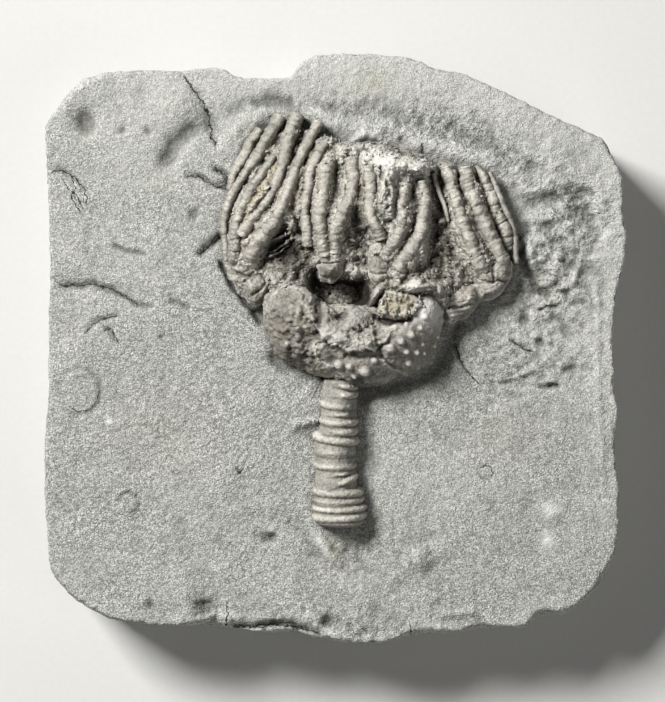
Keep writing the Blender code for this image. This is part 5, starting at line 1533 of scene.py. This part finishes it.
def knobs_on_face():
    """Raises a rounded knob on the face at each knob place, and marks it for the finish."""
    tree, given = geometry_tree("knobs_on_face", (("Knob Places", "Object"),))
    places = node(tree, "GeometryNodeObjectInfo", {"Object": given.outputs["Knob Places"]})
    position = node(tree, "GeometryNodeInputPosition")
    nearest = node(tree, "GeometryNodeSampleNearest", {"Geometry": places.outputs["Geometry"]})
    reads = []
    for key in ("radius", "rise"):
        value = node(tree, "GeometryNodeInputNamedAttribute", {"Name": key}, data_type="FLOAT")
        reads.append(node(tree, "GeometryNodeSampleIndex",
                          {"Geometry": places.outputs["Geometry"], "Value": value.outputs["Attribute"],
                           "Index": nearest.outputs["Index"]}, data_type="FLOAT"))
    middle = node(tree, "GeometryNodeSampleIndex",
                  {"Geometry": places.outputs["Geometry"], "Value": position,
                   "Index": nearest.outputs["Index"]}, data_type="FLOAT_VECTOR")
    away = node(tree, "ShaderNodeVectorMath", {0: position, 1: middle},
                operation="DISTANCE")
    share = node(tree, "ShaderNodeMath", {0: away.outputs["Value"], 1: reads[0]},
                 operation="DIVIDE")
    dome = node(tree, "ShaderNodeMapRange",
                {"Value": share, "From Min": 1.5, "From Max": 0.35}, interpolation_type="SMOOTHSTEP")
    lift = node(tree, "ShaderNodeMath", {0: dome, 1: reads[1]}, operation="MULTIPLY")
    normal = node(tree, "GeometryNodeInputNormal")
    move = node(tree, "ShaderNodeVectorMath", {0: normal, "Scale": lift},
                operation="SCALE")
    marked = node(tree, "GeometryNodeStoreNamedAttribute",
                  {"Geometry": given.outputs["Geometry"], "Name": "knob", "Value": dome},
                  data_type="FLOAT", domain="POINT")
    raised = node(tree, "GeometryNodeSetPosition",
                  {"Geometry": marked, "Offset": move})
    end_tree(tree, given, raised)
    return tree


def plated_arm():
    """Turns an arm's line into a tube of short plates with a groove at each joint."""
    tree, given = geometry_tree("plated_arm", (("Plate Length", "Float"), ("Suture Depth", "Float"),
                                               ("Unevenness", "Float"), ("Depth Over Width", "Float")))
    half = node(tree, "GeometryNodeInputNamedAttribute", {"Name": "half_width"}, data_type="FLOAT")
    along = node(tree, "GeometryNodeInputNamedAttribute", {"Name": "along"}, data_type="FLOAT")
    middle = node(tree, "GeometryNodeInputNamedAttribute", {"Name": "middle"}, data_type="FLOAT_VECTOR")
    line = node(tree, "GeometryNodeMeshToCurve", {"Mesh": given.outputs["Geometry"]})
    level = node(tree, "GeometryNodeSetCurveNormal", {"Curve": line}, mode="Z_UP")
    circle = node(tree, "GeometryNodeCurvePrimitiveCircle", {"Resolution": 22, "Radius": 1.0})
    tube = node(tree, "GeometryNodeCurveToMesh",
                {"Curve": level, "Profile Curve": circle,
                 "Scale": half.outputs["Attribute"], "Fill Caps": True})

    place = node(tree, "GeometryNodeInputPosition")
    out = node(tree, "ShaderNodeVectorMath", {0: place, 1: middle.outputs["Attribute"]},
               operation="SUBTRACT")
    broad = node(tree, "ShaderNodeTexNoise",
                 {"Vector": middle.outputs["Attribute"], "Scale": 1.0 / (3.0 * MM), "Detail": 1.0})
    lumpy = node(tree, "ShaderNodeTexNoise",
                 {"Vector": place, "Scale": 1.0 / (1.5 * MM), "Detail": 2.5, "Roughness": 0.55})
    plates = node(tree, "ShaderNodeMath", {0: along.outputs["Attribute"], 1: given.outputs["Plate Length"]},
                  operation="DIVIDE")
    uneven = node(tree, "ShaderNodeMath", {0: broad, 1: 1.6, 2: plates},
                  operation="MULTIPLY_ADD")
    leaned = node(tree, "ShaderNodeMath", {0: lumpy, 1: 0.45, 2: uneven},
                  operation="MULTIPLY_ADD")
    within = node(tree, "ShaderNodeMath", {0: leaned}, operation="FRACT")
    off_middle = node(tree, "ShaderNodeMath", {0: within, 1: 0.5}, operation="SUBTRACT")
    to_joint = node(tree, "ShaderNodeMath", {0: off_middle}, operation="ABSOLUTE")
    groove = node(tree, "ShaderNodeMapRange",
                  {"Value": to_joint, "From Min": 0.42, "From Max": 0.5},
                  interpolation_type="SMOOTHSTEP")
    swell = node(tree, "ShaderNodeMapRange",
                 {"Value": to_joint, "From Min": 0.0, "From Max": 0.5, "To Min": 1.02,
                  "To Max": 0.98}, interpolation_type="SMOOTHSTEP")
    cut = node(tree, "ShaderNodeMath", {0: groove, 1: given.outputs["Suture Depth"]},
               operation="MULTIPLY")
    ringed = node(tree, "ShaderNodeMath", {0: swell, 1: cut}, operation="SUBTRACT")
    number = node(tree, "ShaderNodeMath", {0: leaned}, operation="FLOOR")
    own = node(tree, "ShaderNodeTexWhiteNoise", {"W": number}, noise_dimensions="1D")
    fatter = node(tree, "ShaderNodeMath", {0: own, 1: 0.06, 2: ringed},
                  operation="MULTIPLY_ADD")
    centred = node(tree, "ShaderNodeMath", {0: lumpy, 1: 0.5}, operation="SUBTRACT")
    lumped = node(tree, "ShaderNodeMath",
                  {0: centred, 1: given.outputs["Unevenness"], 2: fatter},
                  operation="MULTIPLY_ADD")
    pitted = node(tree, "ShaderNodeTexNoise",
                  {"Vector": place, "Scale": 1.0 / (0.5 * MM), "Detail": 1.0})
    pits = node(tree, "ShaderNodeMath", {0: pitted, 1: 0.53}, operation="SUBTRACT")
    factor = node(tree, "ShaderNodeMath", {0: pits, 1: 0.38, 2: lumped},
                  operation="MULTIPLY_ADD")
    tall = node(tree, "ShaderNodeCombineXYZ", {"X": 1.0, "Y": 1.0, "Z": given.outputs["Depth Over Width"]})
    stretched = node(tree, "ShaderNodeVectorMath", {0: out, 1: tall},
                     operation="MULTIPLY")
    shaped = node(tree, "ShaderNodeVectorMath", {0: stretched, "Scale": factor},
                  operation="SCALE")
    put = node(tree, "ShaderNodeVectorMath", {0: middle.outputs["Attribute"], 1: shaped},
               operation="ADD")

    height = node(tree, "ShaderNodeSeparateXYZ", {0: out})
    over = node(tree, "ShaderNodeMath", {0: height.outputs["Z"], 1: half.outputs["Attribute"]},
                operation="DIVIDE")
    # low: darker towards the arm's underside, painted shade, partly dirt on its lower flanks.
    low = node(tree, "ShaderNodeMapRange", {"Value": over, "From Min": 0.8, "From Max": -0.3})
    top = node(tree, "ShaderNodeMapRange", {"Value": over, "From Min": 0.7, "From Max": 1.0})
    marked = tube
    for name, value in (("crest", top), ("suture", groove), ("low", low), ("plate", own)):
        marked = node(tree, "GeometryNodeStoreNamedAttribute",
                      {"Geometry": marked, "Name": name, "Value": value}, data_type="FLOAT", domain="POINT")
    moved = node(tree, "GeometryNodeSetPosition", {"Geometry": marked, "Position": put})
    end_tree(tree, given, moved)
    return tree


def ringed_stem():
    """A lens on every rib place and core slice, turned and sized by it."""
    tree, given = geometry_tree("ringed_stem", ())
    turn = node(tree, "GeometryNodeInputNamedAttribute", {"Name": "turn"}, data_type="FLOAT_VECTOR")
    size = node(tree, "GeometryNodeInputNamedAttribute", {"Name": "size"}, data_type="FLOAT_VECTOR")
    lens = node(tree, "GeometryNodeMeshUVSphere", {"Segments": 72, "Rings": 24, "Radius": 1.0})
    upright = node(tree, "GeometryNodeTransform",
                   {"Geometry": lens, "Rotation": (math.radians(90.0), 0.0, 0.0)})
    turned = node(tree, "FunctionNodeEulerToRotation", {"Euler": turn.outputs["Attribute"]})
    points = node(tree, "GeometryNodeMeshToPoints", {"Mesh": given.outputs["Geometry"]})
    rings = node(tree, "GeometryNodeInstanceOnPoints",
                 {"Points": points, "Instance": upright,
                  "Rotation": turned, "Scale": size.outputs["Attribute"]})
    end_tree(tree, given, rings)
    return tree


# ---------------------------------------------------------------- finishes


def start_finish(name):
    """A node material with its shader, and the piece's own place in millimetres to hang patterns on."""
    material = bpy.data.materials.new(name)
    material.use_nodes = True
    tree = material.node_tree
    shader = tree.nodes["Principled BSDF"]
    coordinates = node(tree, "ShaderNodeTexCoord")
    place = node(tree, "ShaderNodeMapping",
                 {"Vector": coordinates.outputs["Object"], "Scale": (1000.0,) * 3})
    return material, tree, shader, place


def coated(tree, base, *coats):
    """A base colour under coats of tint, each a colour and the share of the surface that it covers."""
    colour = linear(base)
    for tint, share in coats:
        coat = node(tree, "ShaderNodeMixRGB", {"Fac": share, "Color1": colour, "Color2": linear(tint)})
        colour = coat.outputs["Color"]
    return colour


def mottle(tree, place, size, low, high, detail=2.0, blur=0.25):
    """Patches about one size across in millimetres, as a share from low to high."""
    noise = node(tree, "ShaderNodeTexNoise",
                 {"Vector": place, "Scale": 1.0 / size, "Detail": detail, "Roughness": 0.6})
    return node(tree, "ShaderNodeMapRange",
                {"Value": noise, "From Min": 0.5 - blur, "From Max": 0.5 + blur, "To Min": low,
                 "To Max": high})


def mark(tree, name, strength=1.0):
    """A mark that the mesh carries, as a share, at a strength or where another share lets it show."""
    attribute = node(tree, "ShaderNodeAttribute", attribute_name=name)
    return node(tree, "ShaderNodeMath", {0: attribute.outputs["Fac"], 1: strength}, operation="MULTIPLY",
                use_clamp=True)


def painted_crevice_shade(tree, reach, strength):
    """Painted shade: a share of the strength deep in a crevice no wider than the reach in millimetres,
    where nearby faces keep the light out, 0 on open faces.
    """
    shade = node(tree, "ShaderNodeAmbientOcclusion", {"Distance": reach * MM}, samples=8)
    return node(tree, "ShaderNodeMapRange",
                {"Value": shade.outputs["AO"], "From Min": 0.85, "From Max": 0.3, "To Max": strength})


def hairline(tree, place):
    """1 on a crack that the mesh carries as a signed distance, 0 beside it."""
    across = node(tree, "ShaderNodeAttribute", attribute_name="crack_across")
    wander = node(tree, "ShaderNodeTexNoise", {"Vector": place, "Scale": 1.4, "Detail": 3.0})
    shift = node(tree, "ShaderNodeMapRange",
                 {"Value": wander, "From Min": 0.3, "From Max": 0.7, "To Min": -2.0, "To Max": 2.0})
    moved = node(tree, "ShaderNodeMath", {0: across.outputs["Fac"], 1: shift}, operation="ADD")
    off = node(tree, "ShaderNodeMath", {0: moved}, operation="ABSOLUTE")
    line = node(tree, "ShaderNodeMapRange", {"Value": off, "From Min": 1.2, "From Max": 0.4})
    return mark(tree, "crack_beside", line)


def grainy_bump(tree, place, *grains):
    """Bump made of noise layers, each a size in millimetres and a depth in millimetres."""
    normal = None
    for size, depth in grains:
        noise = node(tree, "ShaderNodeTexNoise", {"Vector": place, "Scale": 1.0 / size, "Detail": 2.0})
        under = {"Normal": normal} if normal else {}
        normal = node(tree, "ShaderNodeBump",
                      {"Strength": 1.0, "Distance": depth * MM, "Height": noise, **under})
    return normal


def end_finish(shader, colour, normal, roughness, specular):
    """Give a shader its colour and bump, and its gloss, which is the same all over."""
    tree = shader.id_data
    tree.links.new(colour, shader.inputs["Base Color"])
    tree.links.new(normal.outputs["Normal"], shader.inputs["Normal"])
    shader.inputs["Roughness"].default_value = roughness
    shader.inputs["Specular IOR Level"].default_value = specular


def split_siltstone():
    """Siltstone split along its bedding: matt grey, evenly gritty, a little stained, with painted
    highlights on rough crests and painted shade in pits and crevices.
    """
    material, tree, shader, place = start_finish("split_siltstone")
    speckled = mark(tree, "coarse", mottle(tree, place, 0.5, -0.7, 0.75, 2.0, 0.16))
    # Real silt is finer than 0.06 mm; the grain is drawn at 0.2 mm so that it shows.
    colour = coated(
        tree, "#6C6C68",
        ("#ECECE6", mottle(tree, place, 0.19, 0.0, 1.0, 0.0, 0.24)),
        ("#6C6C66", mottle(tree, place, 0.45, -0.6, 0.7, 1.0, 0.15)),
        ("#C6C6BC", mottle(tree, place, 14.0, 0.0, 0.35)),
        ("#92938F", mottle(tree, place, 5.0, 0.0, 0.35)),
        ("#DEDED6", mark(tree, "light", 0.42)),
        ("#A1987A", mark(tree, "stain", 0.5)),
        ("#F4F4EF", mark(tree, "pale", 0.8)),
        # Painted highlight on crests of the rough patches, partly rubbed wear.
        ("#F0F0EA", mark(tree, "raised", 0.5)),
        ("#55554F", speckled),
        # Painted shade in pits, partly dirt.
        ("#4C4B46", mark(tree, "hollow", 0.55)),
        ("#2B2A27", hairline(tree, place)),
        # Painted shade deep in crevices.
        ("#45443F", painted_crevice_shade(tree, 2.2, 0.6)))
    even = grainy_bump(tree, place, (0.22, 0.2), (0.8, 0.2))
    flaky = node(tree, "ShaderNodeTexNoise",
                 {"Vector": place, "Scale": 1.6, "Detail": 3.0, "Roughness": 0.65})
    broken = node(tree, "ShaderNodeBump",
                  {"Strength": mark(tree, "coarse"), "Distance": 0.8 * MM, "Height": flaky, "Normal": even})
    end_finish(shader, colour, broken, 0.95, 0.25)
    return material


def worn_calcite():
    """Fossil calcite, bared by air abrasion: warm grey-beige and smooth, with dirt in its joints, painted
    shade in its crevices and hollows and on its undersides, and painted highlights on its bumps.
    """
    material, tree, shader, place = start_finish("worn_calcite")
    colour = coated(
        tree, "#A09A8E",
        ("#CFCABE", mottle(tree, place, 1.5, 0.0, 1.0, 3.0, 0.16)),
        ("#74736F", mottle(tree, place, 3.2, -0.2, 0.9, 2.0, 0.12)),
        ("#E2DED3", mottle(tree, place, 0.3, 0.0, 0.6, 1.5, 0.16)),
        ("#686358", mottle(tree, place, 0.45, -0.5, 0.7, 2.0, 0.16)),
        ("#8F887B", mark(tree, "plate", 0.4)),
        ("#A6966E", mark(tree, "stain", 0.6)),
        ("#85857A", mark(tree, "green", 0.6)),
        # Dark: partly darker plates, partly painted shade in the cup's crevices and recesses and on the
        # lower parts of the fork plates.
        ("#565149", mark(tree, "dark", 0.8)),
        ("#E2E0DA", mark(tree, "pale", 0.8)),
        ("#E4E0D4", mark(tree, "crest", 0.3)),
        ("#8B8981", mark(tree, "groove", 0.5)),
        ("#443D32", mark(tree, "suture", mottle(tree, place, 1.6, -0.4, 0.9, 1.0))),
        # Low: on an arm, painted shade on its underside, partly dirt; on a fork plate, a darker tone that
        # varies at random.
        ("#5E5648", mark(tree, "low", 0.65)),
        # Painted highlight on bumps, partly rubbed wear.
        ("#E6E3DA", mark(tree, "raised", 0.55)),
        # Painted shade in hollows, partly dirt; on the stem, a painted shadow line under each rib.
        ("#423D35", mark(tree, "hollow", 0.6)),
        ("#DAD7CE", mark(tree, "knob", 0.75)),
        # Painted shade deep in crevices.
        ("#3A352E", painted_crevice_shade(tree, 1.1, 0.45)))
    end_finish(shader, colour, grainy_bump(tree, place, (0.28, 0.07), (0.8, 0.16)), 0.7, 0.35)
    return material


def crushed_calcite():
    """Crushed plates in hard siltstone: a rough brown-grey rubble with pale crumbs, holes darkened by
    painted shade and bumps lit by painted highlights.
    """
    material, tree, shader, place = start_finish("crushed_calcite")
    colour = coated(
        tree, "#8A867A",
        ("#BDB8AB", mottle(tree, place, 1.1, 0.0, 1.0, 3.0, 0.18)),
        ("#DAD6CB", mottle(tree, place, 0.4, -0.3, 1.0, 2.0, 0.12)),
        ("#5C574E", mottle(tree, place, 0.5, -0.3, 0.9, 2.0, 0.12)),
        ("#ADA07B", mark(tree, "stain", 0.6)),
        ("#D9D4C8", mark(tree, "crumb", 0.6)),
        ("#E6E4DC", mark(tree, "pale", 0.75)),
        # Painted shade in the deep cavity and the open gaps.
        ("#2A2722", mark(tree, "dark", 0.99)),
        ("#A9A9A3", mark(tree, "rock", 0.85)),
        # Painted highlight on bumps, partly rubbed wear.
        ("#E2DFD6", mark(tree, "raised", 0.35)),
        # Painted shade in hollows, partly dirt.
        ("#48433B", mark(tree, "hollow", 0.5)),
        # Painted shade deep in crevices.
        ("#37332D", painted_crevice_shade(tree, 1.3, 0.42)))
    end_finish(shader, colour, grainy_bump(tree, place, (0.25, 0.14), (0.7, 0.25)), 0.85, 0.12)
    return material


def studio_card():
    """Pale matt card, for the floor."""
    material, tree, shader, place = start_finish("pale_matt_card")
    colour = coated(tree, "#DEDDD9", ("#D6D5D1", mottle(tree, place, 0.8, 0.0, 0.5)))
    tree.links.new(colour, shader.inputs["Base Color"])
    shader.inputs["Roughness"].default_value = 0.9
    return material


# ---------------------------------------------------------------- floor, lights and camera

CAMERA_MIDDLE = (-0.51, -0.36)
CAMERA_HEIGHT = 707.0  # over the slab's face
LENS = 250.0
SENSOR_WIDTH = 36.0
FLOOR_SIZE = 4000.0
WORLD_STRENGTH = 0.27
# Square soft boxes: place, size, power.
SOFT_BOXES = {
    "key_soft_box": ((-545.0, 455.0, 655.0), 290.0, 13.9),
    "fill_soft_box": ((500.0, -350.0, 700.0), 600.0, 1.6),
}


def make_floor(finish):
    """A wide pale floor under the slab."""
    half = 0.5 * FLOOR_SIZE * MM
    mesh = bpy.data.meshes.new("floor")
    mesh.from_pydata([(-half, -half, 0.0), (half, -half, 0.0), (half, half, 0.0), (-half, half, 0.0)],
                     [], [(0, 1, 2, 3)])
    mesh.materials.append(finish)
    placed("floor", mesh)


def soft_light(name, place, size, power):
    """A soft box at a place in millimetres, turned to the slab."""
    data = bpy.data.lights.new(name, "AREA")
    data.size = size * MM
    data.energy = power
    light = placed(name, data)
    light.location = Vector(place) * MM
    light.rotation_euler = (-light.location).to_track_quat("-Z", "Y").to_euler()


def set_stage(floor_finish):
    """Floor, lights, world and the camera straight above."""
    make_floor(floor_finish)
    for name, (place, size, power) in SOFT_BOXES.items():
        soft_light(name, place, size, power)
    world = bpy.data.worlds.new("studio")
    world.use_nodes = True
    world.node_tree.nodes["Background"].inputs["Strength"].default_value = WORLD_STRENGTH
    bpy.context.scene.world = world
    bpy.context.scene.view_settings.view_transform = "Standard"
    data = bpy.data.cameras.new("overhead_camera")
    data.lens = LENS
    data.sensor_width = SENSOR_WIDTH
    camera = placed("overhead_camera", data)
    camera.location = Vector((*CAMERA_MIDDLE, SLAB_FACE + CAMERA_HEIGHT)) * MM
    bpy.context.scene.camera = camera


# ---------------------------------------------------------------- the build

ARM_LINES = {arm_name: arm_line(arm_name) for arm_name in ARMS}
GRIT = stone_grit()
CRUMBS = crumbs_on_face()
KNOBS = knobs_on_face()
PLATED_ARM = plated_arm()
RINGED_STEM = ringed_stem()

set_stage(studio_card())
make_slab(split_siltstone())
make_tegmen(crushed_calcite())
calcite = worn_calcite()
knob_places = knob_points()
make_cup(calcite, knob_places)
bpy.data.objects.remove(knob_places)
make_stem(calcite)
for plate_name in FORK_PLATES:
    make_fork_plate(plate_name, calcite)
for arm_name in ARMS:
    make_arm(arm_name, calcite)
